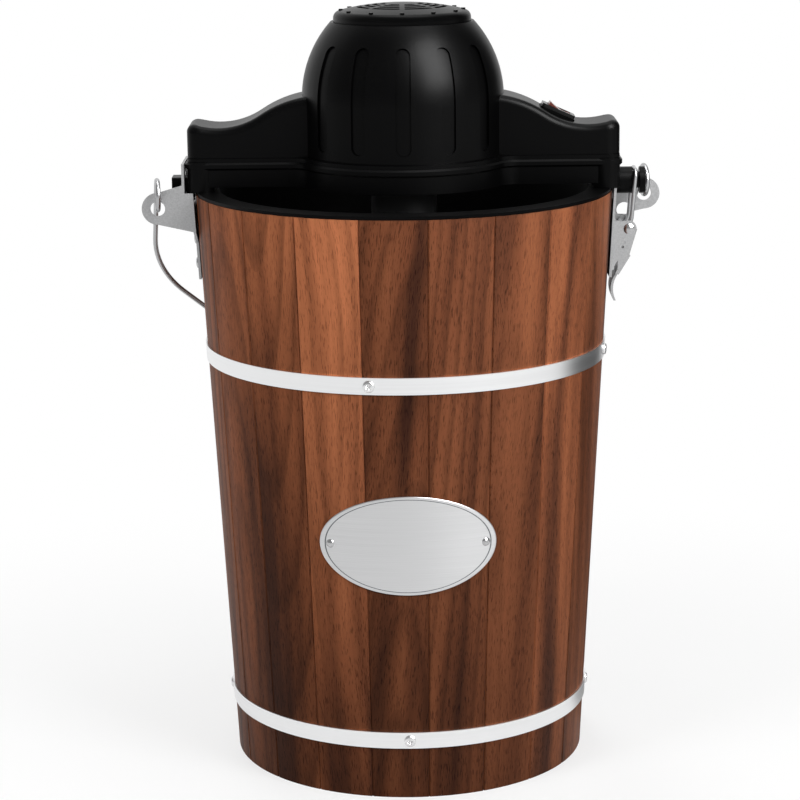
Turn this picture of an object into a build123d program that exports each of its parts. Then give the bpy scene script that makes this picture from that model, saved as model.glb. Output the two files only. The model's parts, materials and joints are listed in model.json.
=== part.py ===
from build123d import *
import os
from math import acos, atan, atan2, cos, degrees, hypot, pi, radians, sin, sqrt, tan

# An electric bucket ice cream maker, in millimetres.
# The origin is the middle of the bucket's base on the table, +Z is up and -Y is the front.
# Angles round the bucket are in degrees from the front towards the right (+X).

os.makedirs("parts", exist_ok=True)

# Bucket
bucket_height = 350
rim_radius = 126
base_radius = 108
stave_count = 20
stave_thickness = 12
first_seam = 5.9
seam_bevel = 0.7
floor_height = 14
floor_thickness = 9
croze_depth = 4
wood_clearance = 0.2

# Plastic liner, with a lip that lies on the staves
liner_wall = 2
liner_clearance = 0.2
lip_thickness = 2
lip_set_back = 0.5

# Steel hoops and their screws
hoop_width = 10
hoop_thickness = 1
hoop_clearance = 0.05
upper_hoop_height = bucket_height - 101.1
lower_hoop_height = 31.7
hoop_screw_count = 4
upper_hoop_screw_start = -10.2
lower_hoop_screw_start = 0
screw_head_radius = 3.5
screw_head_height = 1.7
screw_shank_radius = 1.6
screw_length = 9
pilot_clearance = 0.1

# Oval front plate
badge_height = 158
badge_half_width = 51.6
badge_half_tall = 30.2
badge_thickness = 1.0
badge_clearance = 0.1
badge_pin_reach = 45
badge_pin_head_radius = 2.6
badge_pin_head_height = 1.3
badge_pin_shank_radius = 1.1
badge_pin_length = 7

# Motor head: the seam between its two housings, and the arms
seam_height = bucket_height + 22
housing_wall = 2.5
arm_half_length = rim_radius + 3.5
arm_half_width = 21
arm_corner = 8
arm_edge_round = 4.5
arm_lip_height = bucket_height + 44
arm_dip = (rim_radius - 19, bucket_height + 40)
arm_rise = (rim_radius - 40.4, bucket_height + 47.4)
arm_root = (57, bucket_height + 58.2)
arm_root_run = 8

# Dome over the motor
dome_radius = 60.8
dome_shoulder = bucket_height + 55
dome_top = bucket_height + 101
dome_top_radius = 43
dome_opening_radius = 37.5
flute_width = 9
flute_depth = 1.2
flute_low = bucket_height + 27
flute_high = bucket_height + 89
flute_pitch = 26
flutes_per_side = 5

# Vent cap
cap_radius = 41.3
cap_edge_height = 2
cap_crown = 8.8
cap_edge_round = 4.5
cap_wall = 2.4
vent_ring_count = 4
vent_first_radius = 10.6
vent_slot = 2.8
vent_ring_pitch = 4.6
vent_spoke_count = 8
vent_spoke_width = 3
vent_pip_count = 12
vent_pip_circle = 36.6
vent_pip_radius = 1.3
vent_pip_height = 0.7

# Lower housing
base_underside = bucket_height + 5
base_floor = 3
base_half_length = rim_radius + 3.5
base_half_width = 22.5
base_bulge_radius = 64
base_blend = 14
base_wall = 5.5
bead_low = bucket_height + 15.3
bead_tall = 4.4
bead_proud = 1.5
bead_bevel = 1.1
foot_length = 16
foot_half_width = 24
foot_corner = 7
foot_top = bucket_height + 20

# Hook tongue at the left and latch lug at the right
tongue_reach = rim_radius + 14
tongue_half_width = 7.5
tongue_low = bucket_height - 3
tongue_high = bucket_height + 9
tongue_corner = 1.5
lug_height = bucket_height + 3.7
lug_radius = 8.1
lug_collar_end = rim_radius + 12.2
lug_groove_end = rim_radius + 16.6
lug_end = rim_radius + 19.8
lug_groove_radius = 5

# Rocker switch on the sloping top of the right arm
switch_reach = rim_radius - 33
switch_seat_height = bucket_height + 45.7
switch_slope = 24
bezel_length = 21
bezel_width = 15
bezel_flange = 2
bezel_body_length = 17.4
bezel_body_width = 12.6
bezel_body_depth = 11
bezel_corner = 1.5
bezel_clearance = 0.15
seat_margin = 1.2
seat_corner = 2.1
seat_depth = 7
rocker_opening_length = 15
rocker_opening_width = 10.2
rocker_opening_depth = 9
rocker_length = 14
rocker_width = 9.6
rocker_pivot_height = 0.5
rocker_end_height = 2.4
rocker_dip_height = 1.4
rocker_underside = -3
rocker_undercut = 2
rocker_tilt = 10
rocker_pin_radius = 1
rocker_pin_reach = 5.8

# Cord gland in the rear wall of the right arm
gland_reach = rim_radius - 12
gland_height = bucket_height + 30
gland_flange_radius = 7
gland_flange = 2
gland_neck_radius = 5
gland_neck_length = 7
gland_bore_radius = 3.2
gland_clearance = 0.1

# Side brackets
bracket_thickness = 1.5
bracket_clearance = 0.2
bracket_low = bucket_height - 53
bracket_bend_low = bucket_height - 9
bracket_bend_high = bucket_height + 1.5
left_tab_high = bucket_height + 19
right_plate_high = bucket_height + 1.5
bracket_tab_reach = rim_radius + 5.4
bracket_ear_side = 22
bracket_far_side = -17
window_half_width = 9.6
window_low = bucket_height - 6.5
window_high = bucket_height + 13.5
ear_root_low = bucket_height - 22.3
ear_notch = (rim_radius + 9.4, bucket_height - 17.7)
ear_notch_radius = 4.6
stem_half_width = 9
stem_shoulder = 8
ear_root_high = bucket_height + 6.6
ear_hole_reach = rim_radius + 21.6
ear_hole_height = bucket_height - 7.6
ear_hole_radius = 4.4
ear_end_radius = 9.6
bracket_screw_heights = (bucket_height - 44, bucket_height - 29)

# Draw latch on the right bracket, its pivots parallel to Y
latch_plate = 1.5
latch_base_low = bucket_height - 49
latch_base_high = bucket_height - 19
latch_pivot = (rim_radius + 9.5, bucket_height - 24)
latch_ear_radius = 4.6
latch_ear_inside = 13.2
latch_ear_lean = 40
latch_hole = (rim_radius + 5.7, bucket_height - 35)
latch_hole_radius = 0.9
latch_pips = ((rim_radius + 6.6, bucket_height - 29), (rim_radius + 8, bucket_height - 32.1))
latch_pip_radius = 0.8
latch_pip_height = 0.4
rivet_shank_radius = 2.2
rivet_head_radius = 3.35
rivet_head_height = 1.2
rivet_inside = 11.4
lever_side_inside = 11.3
lever_side_plate = 1.5
lever_nose = (rim_radius + 14.6, bucket_height - 24.7)
lever_notch = (rim_radius + 10, bucket_height - 40.4)
lever_heel = (rim_radius + 2.9, bucket_height - 52)
lever_shoulder = (rim_radius + 3.2, bucket_height - 23)
lever_top_radius = 4.6
lever_web_step = 0.8
lever_tail_bend = (rim_radius + 0.7, bucket_height - 60)
lever_tail_end = (rim_radius + 2.4, bucket_height - 69)
lever_tail_half_width = 9
loop_pivot = (rim_radius + 5, bucket_height - 36.5)
loop_bar = (rim_radius + 13.8, bucket_height + 10.5)
loop_knee = (rim_radius + 11.4, bucket_height - 18.5)
loop_knee_bend = 6
loop_wire_radius = 1.25
loop_half_width = 9.7
loop_end_bend = 2
loop_bar_bend = 3.5
loop_end_set_back = 0.1
running_clearance = 0.05

# Wire bail, its eyes through the ears of the brackets
bail_wire_radius = 1.5
bail_eye_radius = 8.8
bail_eye_height = bucket_height + 0.6
bail_eye_turn = 303
bail_rest_gap = 0.6717
bail_leg_corner = 82
bail_leg_bend = 85
bail_depth = rim_radius + 60
bail_corner_reach = 63.9
bail_corner_bend = 40
grip_half_length = 42
grip_radius = 10
grip_end_radius = 7.5
grip_clearance = 0.1

# Canister, lid and pivot
canister_low = 31
canister_high = bucket_height - 44
canister_low_radius = 72
canister_high_radius = 76
canister_wall = 1.2
canister_floor = 1.5
canister_rim_radius = 78
canister_rim_tall = 3
pivot_flange_radius = 14
pivot_flange = 3
pivot_pin_radius = 4
pivot_pin_high = 37
socket_wall = 2
socket_roof = 1.7
socket_end_gap = 0.3
lid_plate = 3
lid_skirt = 10
lid_skirt_wall = 2
lid_clearance = 0.2
lid_boss_radius = 20
lid_boss_high = bucket_height - 24
lid_drive_high = bucket_height - 5
lid_drive_flats = 30

# Dasher
stem_radius = 7
stem_square = 10
stem_square_low = bucket_height - 2
stem_square_high = bucket_height + 11
dasher_hub_radius = 11
dasher_hub_tall = 14
dasher_floor_gap = 0.6
dasher_arm_heights = (62, 165, bucket_height - 82)
dasher_arm_reach = 57
dasher_arm_tall = 8
dasher_arm_width = 9
dasher_bar_reach = 32
dasher_bar_width = 7
dasher_bar_thickness = 4
blade_low = 45
blade_high = bucket_height - 56
blade_thickness = 5
blade_gap = 0.8

# Gear train: pinion to idler wheel, idler pinion to output gear
gear_module = 0.9
wheel_teeth = 48
pinion_teeth = 12
pressure_angle = 20
addendum_share = 0.75
dedendum_share = 1.0
tooth_backlash = 0.22
gear_face = 4
output_gear_low = bucket_height + 9.6
output_hub_radius = 19.8
output_hub_low = bucket_height - 18
output_socket_high = bucket_height - 3.8
drive_clearance = 0.15
gear_plate_low = bucket_height + 14.3
gear_plate_thickness = 2.8
gear_plate_radius = 56
gear_plate_slack = 0.6
post_radius = 9
post_low = bucket_height - 1.8
post_square_clearance = 0.12
pillar_circle = 50
pillar_radius = 3.5
idler_hub_radius = 6.3
idler_hole_clearance = 0.5
idler_pin_radius = 2
thrust_ring_width = 3.5
thrust_gap = 0.3
hub_hole_clearance = 0.5

# Motor
motor_bracket_low = bucket_height + 26
motor_bracket_plate = 2.5
motor_bracket_radius = 54
bearing_boss_radius = 8
bearing_boss_tall = 5.5
stator_low = bucket_height + 38
stator_high = bucket_height + 64
stator_outer_radius = 40
stator_yoke = 7
stator_bore_radius = 23.2
pole_half_width = 10
stator_post_circle = 36.5
stator_post_radius = 3.4
coil_clearance = 0.4
coil_section = 5.4
coil_near = 24.6
coil_far = 28.4
upper_bracket_low = bucket_height + 74
upper_bracket_half_width = 8
rotor_core_radius = 22.4
rotor_shaft_radius = 2.5
rotor_shaft_low = bucket_height + 17.5
rotor_shaft_high = bucket_height + 91
commutator_radius = 9
commutator_low = bucket_height + 65.5
commutator_high = bucket_height + 69
fan_low = bucket_height + 80
fan_plate = 1.2
fan_tall = 8
fan_radius = 34
fan_hub_radius = 7
fan_vane_inner = 5
fan_vane_outer = 33
fan_vane_count = 9
fan_vane_thickness = 1.4
pinion_clearance = 0.02

# Screws that join the housings, driven up from below
housing_screw_reach = rim_radius - 24
housing_screw_side = 11
housing_boss_radius = 4.2
housing_screw_radius = 1.5
housing_screw_head_radius = 3
housing_screw_head = 1.6
housing_screw_bite = 13
housing_bore_clearance = 0.2

# Sizes that follow from the ones above
wall_slope = (rim_radius - base_radius) / bucket_height
wall_lean = degrees(atan(wall_slope))
stave_pitch = 360 / stave_count
floor_top = floor_height + floor_thickness
liner_floor_top = floor_top + liner_wall
lip_top = bucket_height + lip_thickness
dome_bend = ((dome_radius - dome_top_radius) ** 2 + (dome_top - dome_shoulder) ** 2) / (
    2 * (dome_radius - dome_top_radius)
)
gear_spacing = gear_module * (wheel_teeth + pinion_teeth) / 2
gear_plate_top = gear_plate_low + gear_plate_thickness
idler_wheel_low = gear_plate_top + gear_plate_slack
base_floor_top = base_underside + base_floor
bail_skew = degrees(atan2(bracket_ear_side - bracket_thickness / 2, ear_hole_reach))
bail_half_span = hypot(bracket_ear_side - bracket_thickness / 2, ear_hole_reach)

# The bail leans back until its grip comes to rest on the sloping wall
rest_reach = rim_radius + wall_slope * (bail_eye_height - bucket_height) + grip_radius + bail_rest_gap
lean_across = bail_depth - wall_slope * bail_eye_radius
lean_down = bail_eye_radius + wall_slope * bail_depth
bail_lean = degrees(atan2(lean_down, lean_across) + acos(rest_reach / hypot(lean_across, lean_down)))


def wall_radius(height):
    # outer radius of the bucket wall at a height
    return base_radius + wall_slope * height


def radial_plane(angle):
    # plane through the bucket's axis: local x outwards, local y up
    swing = radians(angle)
    return Plane((0, 0, 0), x_dir=(sin(swing), -cos(swing), 0), z_dir=(-cos(swing), -sin(swing), 0))


def wall_plane(angle, height, stand_off):
    # plane that lies on the outside of the bucket wall, facing outwards
    swing = radians(angle)
    lean = radians(wall_lean)
    normal = Vector(sin(swing) * cos(lean), -cos(swing) * cos(lean), -sin(lean))
    radius = wall_radius(height)
    foot = Vector(radius * sin(swing), -radius * cos(swing), height)
    return Plane(foot + normal * stand_off, x_dir=(cos(swing), sin(swing), 0), z_dir=normal)


def side_plane(depth):
    # upright plane across the front: local x to the right, local y up, at Y = depth
    return Plane((0, depth, 0), x_dir=(1, 0, 0), z_dir=(0, -1, 0))


def cap_middle(radius, height):
    # a point halfway along the round profile of a domed head
    sphere = (radius**2 + height**2) / (2 * height)
    half_span = atan2(radius, sphere - height) / 2
    return (sphere * sin(half_span), height - sphere * (1 - cos(half_span)))


def domed_screw(head_radius, head_height, shank_radius, length):
    # a screw or pin with a domed head on the XY plane and its shank below
    with BuildPart() as screw:
        with BuildSketch(Plane.XZ):
            with BuildLine():
                Polyline(
                    (0, head_height),
                    (0, -length),
                    (shank_radius, -length),
                    (shank_radius, 0),
                    (head_radius, 0),
                )
                ThreePointArc((head_radius, 0), cap_middle(head_radius, head_height), (0, head_height))
            make_face()
        revolve(axis=Axis.Z)
    return screw.part


def gear_outline(teeth, turn):
    # outline of a spur gear, each flank through the root, the pitch circle and the tip
    pitch_radius = gear_module * teeth / 2
    base_circle = pitch_radius * cos(radians(pressure_angle))
    half_pitch_angle = (pi * gear_module / 2 - tooth_backlash) / (2 * pitch_radius)

    def involute(radius):
        pressure = acos(min(1, base_circle / radius))
        return tan(pressure) - pressure

    flank = []
    for radius in (
        pitch_radius - dedendum_share * gear_module,
        pitch_radius,
        pitch_radius + addendum_share * gear_module,
    ):
        half_angle = half_pitch_angle + involute(pitch_radius) - involute(radius)
        flank.append((radius, half_angle))
    points = []
    for tooth in range(teeth):
        middle = 2 * pi * tooth / teeth + radians(turn)
        rising = [(radius, middle - half) for radius, half in flank]
        falling = [(radius, middle + half) for radius, half in reversed(flank)]
        points += [(radius * cos(angle), radius * sin(angle)) for radius, angle in rising + falling]
    return points


# Where the wood screws and pins go: angle, height and how far the seat stands off the wall
upper_hoop_middle = upper_hoop_height + hoop_width / 2
lower_hoop_middle = lower_hoop_height + hoop_width / 2
hoop_stand_off = hoop_clearance + hoop_thickness
hoop_seats = []
for index in range(hoop_screw_count):
    turn = index * 360 / hoop_screw_count
    hoop_seats.append(wall_plane(upper_hoop_screw_start + turn, upper_hoop_middle, hoop_stand_off))
    hoop_seats.append(wall_plane(lower_hoop_screw_start + turn, lower_hoop_middle, hoop_stand_off))
badge_pin_angle = degrees(atan2(badge_pin_reach, sqrt(wall_radius(badge_height) ** 2 - badge_pin_reach**2)))
badge_seats = []
for side in (-1, 1):
    badge_seats.append(wall_plane(side * badge_pin_angle, badge_height, badge_clearance + badge_thickness))
bracket_stand_off = bracket_clearance + bracket_thickness
left_bracket_seats = [wall_plane(-90, height, bracket_stand_off) for height in bracket_screw_heights]
right_bracket_seats = [
    wall_plane(90, height, bracket_stand_off + latch_plate) for height in bracket_screw_heights
]
wood_screw_seats = hoop_seats + left_bracket_seats + right_bracket_seats
pilot_holes = [(seat, screw_shank_radius, screw_length) for seat in wood_screw_seats]
pilot_holes += [(seat, badge_pin_shank_radius, badge_pin_length) for seat in badge_seats]


# Staves: a slice of the tapered wall with the groove for the floor
def stave_inside(height):
    return wall_radius(height) - stave_thickness


def pilot_in_stave(seat, left_seam):
    # whether a screw's shank enters the stave that starts at this seam
    angle = degrees(atan2(seat.origin.X, -seat.origin.Y))
    return (angle - left_seam) % 360 < stave_pitch


for index in range(stave_count):
    left_seam = first_seam + index * stave_pitch
    with BuildPart() as stave:
        with BuildSketch(radial_plane(left_seam)):
            with BuildLine():
                Polyline(
                    (stave_inside(0), 0),
                    (wall_radius(0), 0),
                    (wall_radius(bucket_height), bucket_height),
                    (stave_inside(bucket_height), bucket_height),
                    (stave_inside(floor_top), floor_top),
                    (stave_inside(floor_height) + croze_depth, floor_top),
                    (stave_inside(floor_height) + croze_depth, floor_height),
                    (stave_inside(floor_height), floor_height),
                    close=True,
                )
            make_face()
        revolve(axis=Axis.Z, revolution_arc=stave_pitch)
        chamfer(stave.edges().filter_by(GeomType.LINE).group_by(SortBy.LENGTH)[-1], seam_bevel)
        for seat, radius, length in pilot_holes:
            if pilot_in_stave(seat, left_seam):
                with Locations(seat):
                    Hole(radius + pilot_clearance, depth=length + pilot_clearance)
    stave.part.label = f"stave_{index + 1:02d}"
    export_step(stave.part, f"parts/stave_{index + 1:02d}.step")

# Bucket floor
with BuildPart() as bucket_floor:
    with BuildSketch(Plane.XY.offset(floor_height)):
        Circle(stave_inside(floor_height) + croze_depth - wood_clearance)
    extrude(amount=floor_thickness)
bucket_floor.part.label = "bucket_floor"
export_step(bucket_floor.part, "parts/bucket_floor.step")


# Liner
def liner_outside(height):
    return stave_inside(height) - liner_clearance


with BuildPart() as bucket_liner:
    with BuildSketch(Plane.XZ):
        with BuildLine():
            Polyline(
                (0, floor_top),
                (liner_outside(floor_top), floor_top),
                (liner_outside(bucket_height), bucket_height),
                (rim_radius - lip_set_back, bucket_height),
                (rim_radius - lip_set_back, lip_top),
                (liner_outside(lip_top) - liner_wall, lip_top),
                (liner_outside(liner_floor_top) - liner_wall, liner_floor_top),
                (0, liner_floor_top),
                close=True,
            )
        make_face()
    revolve(axis=Axis.Z)
bucket_liner.part.label = "bucket_liner"
export_step(bucket_liner.part, "parts/bucket_liner.step")


# Hoops
def hoop(low):
    high = low + hoop_width
    with BuildPart() as band:
        with BuildSketch(Plane.XZ):
            with BuildLine():
                Polyline(
                    (wall_radius(low) + hoop_clearance, low),
                    (wall_radius(low) + hoop_clearance + hoop_thickness, low),
                    (wall_radius(high) + hoop_clearance + hoop_thickness, high),
                    (wall_radius(high) + hoop_clearance, high),
                    close=True,
                )
            make_face()
        revolve(axis=Axis.Z)
        with Locations([seat for seat in hoop_seats if low < seat.origin.Z < high]):
            Hole(screw_shank_radius + pilot_clearance, depth=screw_length)
    return band.part


upper_hoop = hoop(upper_hoop_height)
upper_hoop.label = "upper_hoop"
export_step(upper_hoop, "parts/upper_hoop.step")

lower_hoop = hoop(lower_hoop_height)
lower_hoop.label = "lower_hoop"
export_step(lower_hoop, "parts/lower_hoop.step")

wood_screw = domed_screw(screw_head_radius, screw_head_height, screw_shank_radius, screw_length)
with BuildPart() as hoop_screws:
    with Locations(hoop_seats):
        add(wood_screw)
hoop_screws.part.label = "hoop_screws"
export_step(hoop_screws.part, "parts/hoop_screws.step")

# Oval plate, bent to the wall
with BuildPart() as badge_plate:
    badge_low = badge_height - badge_half_tall
    badge_high = badge_height + badge_half_tall
    with BuildSketch(Plane.XZ):
        with BuildLine():
            Polyline(
                (wall_radius(badge_low) + badge_clearance, badge_low),
                (wall_radius(badge_low) + badge_clearance + badge_thickness, badge_low),
                (wall_radius(badge_high) + badge_clearance + badge_thickness, badge_high),
                (wall_radius(badge_high) + badge_clearance, badge_high),
                close=True,
            )
        make_face()
    revolve(axis=Axis.Z)
    with BuildSketch(side_plane(0)):
        with Locations((0, badge_height)):
            Ellipse(badge_half_width, badge_half_tall)
    extrude(amount=rim_radius, mode=Mode.INTERSECT)
    with Locations(badge_seats):
        Hole(badge_pin_shank_radius + pilot_clearance, depth=badge_pin_length)
badge_plate.part.label = "badge_plate"
export_step(badge_plate.part, "parts/badge_plate.step")

badge_pin = domed_screw(
    badge_pin_head_radius, badge_pin_head_height, badge_pin_shank_radius, badge_pin_length
)
with BuildPart() as badge_pins:
    with Locations(badge_seats):
        add(badge_pin)
badge_pins.part.label = "badge_pins"
export_step(badge_pins.part, "parts/badge_pins.step")


# Side brackets: a plate up the wall and an ear bent out; the left one has a tab with a window
def bracket_inside(height):
    return wall_radius(height) + bracket_clearance


def side_bracket(inner_line):
    # bracket of the right side, its plate bent along a line
    outer_line = [(reach + bracket_thickness, height) for reach, height in inner_line]
    ear_low = (ear_hole_reach, ear_hole_height - ear_end_radius)
    ear_high = (ear_hole_reach, ear_hole_height + ear_end_radius)
    with BuildPart() as bracket:
        with BuildSketch(side_plane(bracket_ear_side)):
            with BuildLine():
                Polyline(*inner_line, *reversed(outer_line), close=True)
            make_face()
        extrude(amount=bracket_ear_side - bracket_far_side)
        with BuildSketch(side_plane(bracket_ear_side)):
            with BuildLine():
                Polyline(
                    ear_low,
                    (bracket_inside(ear_root_low), ear_root_low),
                    (bracket_inside(bracket_bend_high), bracket_bend_high),
                    (bracket_tab_reach, bracket_bend_high),
                    (bracket_tab_reach, ear_root_high),
                    ear_high,
                )
                ThreePointArc(ear_high, (ear_hole_reach + ear_end_radius, ear_hole_height), ear_low)
            make_face()
            with Locations((ear_hole_reach, ear_hole_height)):
                Circle(ear_hole_radius, mode=Mode.SUBTRACT)
        extrude(amount=bracket_thickness)
        with BuildSketch(Plane.YZ):
            with Locations((0, (window_low + window_high) / 2)):
                RectangleRounded(2 * window_half_width, window_high - window_low, bracket_thickness)
        extrude(amount=bracket_tab_reach + 2 * bracket_thickness, mode=Mode.SUBTRACT)
        with Locations(right_bracket_seats):
            Hole(screw_shank_radius + pilot_clearance, depth=screw_length)
    return bracket.part


plate_foot = (bracket_inside(bracket_low), bracket_low)
with BuildPart() as right_bracket:
    add(side_bracket([plate_foot, (bracket_inside(right_plate_high), right_plate_high)]))
    with BuildSketch(side_plane(bracket_ear_side)):
        with Locations(ear_notch):
            Circle(ear_notch_radius)
    extrude(amount=bracket_thickness, mode=Mode.SUBTRACT)
right_bracket.part.label = "right_bracket"
export_step(right_bracket.part, "parts/right_bracket.step")

with BuildPart() as tabbed_bracket:
    tab_line = [
        plate_foot,
        (bracket_inside(bracket_bend_low), bracket_bend_low),
        (bracket_tab_reach, bracket_bend_high),
        (bracket_tab_reach, left_tab_high),
    ]
    add(side_bracket(tab_line))
    with BuildSketch(Plane.YZ):
        for edge in (bracket_ear_side, bracket_far_side):
            stem_edge = stem_half_width if edge > 0 else -stem_half_width
            with BuildLine():
                Polyline(
                    (stem_edge, bracket_low),
                    (edge, bracket_low),
                    (edge, ear_root_low),
                    (stem_edge, ear_root_low - stem_shoulder),
                    close=True,
                )
            make_face()
    extrude(amount=bracket_tab_reach, mode=Mode.SUBTRACT)

with BuildPart() as left_bracket:
    add(tabbed_bracket.part, rotation=(0, 0, 180))
left_bracket.part.label = "left_bracket"
export_step(left_bracket.part, "parts/left_bracket.step")

with BuildPart() as bracket_screws:
    with Locations(left_bracket_seats + right_bracket_seats):
        add(wood_screw)
bracket_screws.part.label = "bracket_screws"
export_step(bracket_screws.part, "parts/bracket_screws.step")


# Latch base: a plate over the bracket with two ears for the lever's rivets
def latch_seat(height):
    return bracket_inside(height) + bracket_thickness


with BuildPart() as latch_base:
    base_half_span = latch_ear_inside + latch_plate
    ear_across = latch_ear_radius * cos(radians(latch_ear_lean))
    ear_below = latch_ear_radius * sin(radians(latch_ear_lean))
    with BuildSketch(side_plane(base_half_span)):
        with BuildLine():
            Polyline(
                (latch_seat(latch_base_low), latch_base_low),
                (latch_seat(latch_base_low) + latch_plate, latch_base_low),
                (latch_seat(latch_base_high) + latch_plate, latch_base_high),
                (latch_seat(latch_base_high), latch_base_high),
                close=True,
            )
        make_face()
    extrude(amount=2 * base_half_span)
    for outside in (base_half_span, -latch_ear_inside):
        with BuildSketch(side_plane(outside)):
            with Locations(latch_pivot):
                Circle(latch_ear_radius)
            with BuildLine():
                Polyline(
                    (latch_seat(latch_base_low), latch_base_low),
                    (latch_pivot[0] + ear_across, latch_pivot[1] - ear_below),
                    (latch_pivot[0], latch_pivot[1] + latch_ear_radius),
                    (latch_seat(latch_base_high), latch_base_high),
                    close=True,
                )
            make_face()
            with Locations(latch_pivot):
                Circle(rivet_shank_radius + running_clearance, mode=Mode.SUBTRACT)
            with Locations(latch_hole):
                Circle(latch_hole_radius, mode=Mode.SUBTRACT)
        extrude(amount=latch_plate)
    for facing in (-1, 1):
        with BuildSketch(side_plane(facing * base_half_span)):
            with Locations(latch_pips):
                Circle(latch_pip_radius)
        extrude(amount=-facing * latch_pip_height)
    with Locations(right_bracket_seats):
        Hole(screw_shank_radius + pilot_clearance, depth=screw_length)
latch_base.part.label = "latch_base"
export_step(latch_base.part, "parts/latch_base.step")

with BuildPart() as latch_rivets:
    rivet_length = base_half_span - rivet_inside
    for facing in (-1, 1):
        rivet_seat = Plane(
            (latch_pivot[0], facing * base_half_span, latch_pivot[1]), x_dir=(1, 0, 0), z_dir=(0, facing, 0)
        )
        with Locations(rivet_seat):
            add(domed_screw(rivet_head_radius, rivet_head_height, rivet_shank_radius, rivet_length))
latch_rivets.part.label = "latch_rivets"
export_step(latch_rivets.part, "parts/latch_rivets.step")

# Latch lever: two side plates, a web below the notch and a tail that curls out
with BuildPart() as latch_lever:
    lever_half_span = lever_side_inside + lever_side_plate
    for outside in (lever_half_span, -lever_side_inside):
        with BuildSketch(side_plane(outside)):
            with BuildLine():
                Polyline(lever_shoulder, lever_heel, lever_notch, lever_nose, latch_pivot, close=True)
            make_face()
            with Locations(latch_pivot):
                Circle(lever_top_radius)
                Circle(rivet_shank_radius + running_clearance, mode=Mode.SUBTRACT)
            with Locations(loop_pivot):
                Circle(loop_wire_radius + running_clearance, mode=Mode.SUBTRACT)
        extrude(amount=lever_side_plate)
    web_slope = atan2(lever_notch[1] - lever_heel[1], lever_notch[0] - lever_heel[0])
    web_step = (lever_web_step * sin(web_slope), -lever_web_step * cos(web_slope))
    web_depth = (-lever_side_plate * sin(web_slope), lever_side_plate * cos(web_slope))
    with BuildSketch(side_plane(lever_half_span)):
        with BuildLine():
            Polyline(
                (lever_heel[0] + web_step[0], lever_heel[1] + web_step[1]),
                (lever_notch[0] + web_step[0], lever_notch[1] + web_step[1]),
                (lever_notch[0] + web_depth[0], lever_notch[1] + web_depth[1]),
                (lever_heel[0] + web_depth[0], lever_heel[1] + web_depth[1]),
                close=True,
            )
        make_face()
    extrude(amount=2 * lever_half_span)
    with BuildSketch(side_plane(lever_tail_half_width)):
        with BuildLine():
            tail_start = (lever_heel[0] + web_step[0], lever_heel[1] + web_step[1])
            outer_tail = ThreePointArc(tail_start, lever_tail_bend, lever_tail_end)
            inner_tail = ThreePointArc(
                (tail_start[0] - lever_side_plate, tail_start[1]),
                (lever_tail_bend[0] - lever_side_plate, lever_tail_bend[1]),
                (lever_tail_end[0] - lever_side_plate, lever_tail_end[1]),
            )
            Line(outer_tail @ 1, inner_tail @ 1)
            Polyline(
                outer_tail @ 0,
                (lever_heel[0] + web_depth[0] / 2, lever_heel[1] + lever_side_plate),
                inner_tail @ 0,
            )
        make_face()
    extrude(amount=2 * lever_tail_half_width)
latch_lever.part.label = "latch_lever"
export_step(latch_lever.part, "parts/latch_lever.step")

# Latch loop: one wire, its ends turned out through the lever's side plates
with BuildPart() as latch_loop:
    loop_end = lever_side_inside + lever_side_plate - loop_end_set_back
    near_leg = [
        (loop_pivot[0], -loop_end, loop_pivot[1]),
        (loop_pivot[0], -loop_half_width, loop_pivot[1]),
        (loop_knee[0], -loop_half_width, loop_knee[1]),
        (loop_bar[0], -loop_half_width, loop_bar[1]),
    ]
    far_leg = [(x, -y, z) for x, y, z in reversed(near_leg)]
    leg_bends = (loop_end_bend, loop_knee_bend, loop_bar_bend)
    with BuildLine() as loop_path:
        FilletPolyline(*near_leg, *far_leg, radius=(*leg_bends, *reversed(leg_bends)))
    with BuildSketch(Plane(loop_path.line @ 0, z_dir=loop_path.line % 0)):
        Circle(loop_wire_radius)
    sweep(path=loop_path.line)
latch_loop.part.label = "latch_loop"
export_step(latch_loop.part, "parts/latch_loop.step")

# Wire bail: its hinge line runs through both eyes, and it leans back on the bucket
hinge_line = Vector(cos(radians(bail_skew)), sin(radians(bail_skew)), 0)
hinge_back = Vector(-sin(radians(bail_skew)), cos(radians(bail_skew)), 0)
bail_down = hinge_back * cos(radians(bail_lean)) - Vector(0, 0, 1) * sin(radians(bail_lean))
bail_face = hinge_back * sin(radians(bail_lean)) + Vector(0, 0, 1) * cos(radians(bail_lean))
hinge_middle = Vector(0, 0, bail_eye_height)
bail_plane = Plane(
    hinge_middle + bail_face * bail_eye_radius, x_dir=hinge_line, z_dir=hinge_line.cross(bail_down)
)
with BuildPart() as bail_wire:
    with BuildLine(bail_plane) as bail_path:
        FilletPolyline(
            (-bail_half_span, 0),
            (-bail_half_span, bail_leg_corner),
            (-bail_corner_reach, bail_depth),
            (bail_corner_reach, bail_depth),
            (bail_half_span, bail_leg_corner),
            (bail_half_span, 0),
            radius=(bail_leg_bend, bail_corner_bend, bail_corner_bend, bail_leg_bend),
        )
    with BuildSketch(Plane(bail_path.line @ 0, z_dir=bail_path.line % 0)):
        Circle(bail_wire_radius)
    sweep(path=bail_path.line)
    for side in (-1, 1):
        eye_centre = hinge_middle + hinge_line * (side * bail_half_span)
        eye_start = eye_centre + bail_face * bail_eye_radius
        with BuildSketch(Plane(eye_start, z_dir=bail_down)):
            Circle(bail_wire_radius)
        revolve(axis=Axis(eye_centre, hinge_line), revolution_arc=bail_eye_turn)
bail_wire.part.label = "bail_wire"
export_step(bail_wire.part, "parts/bail_wire.step")

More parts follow.
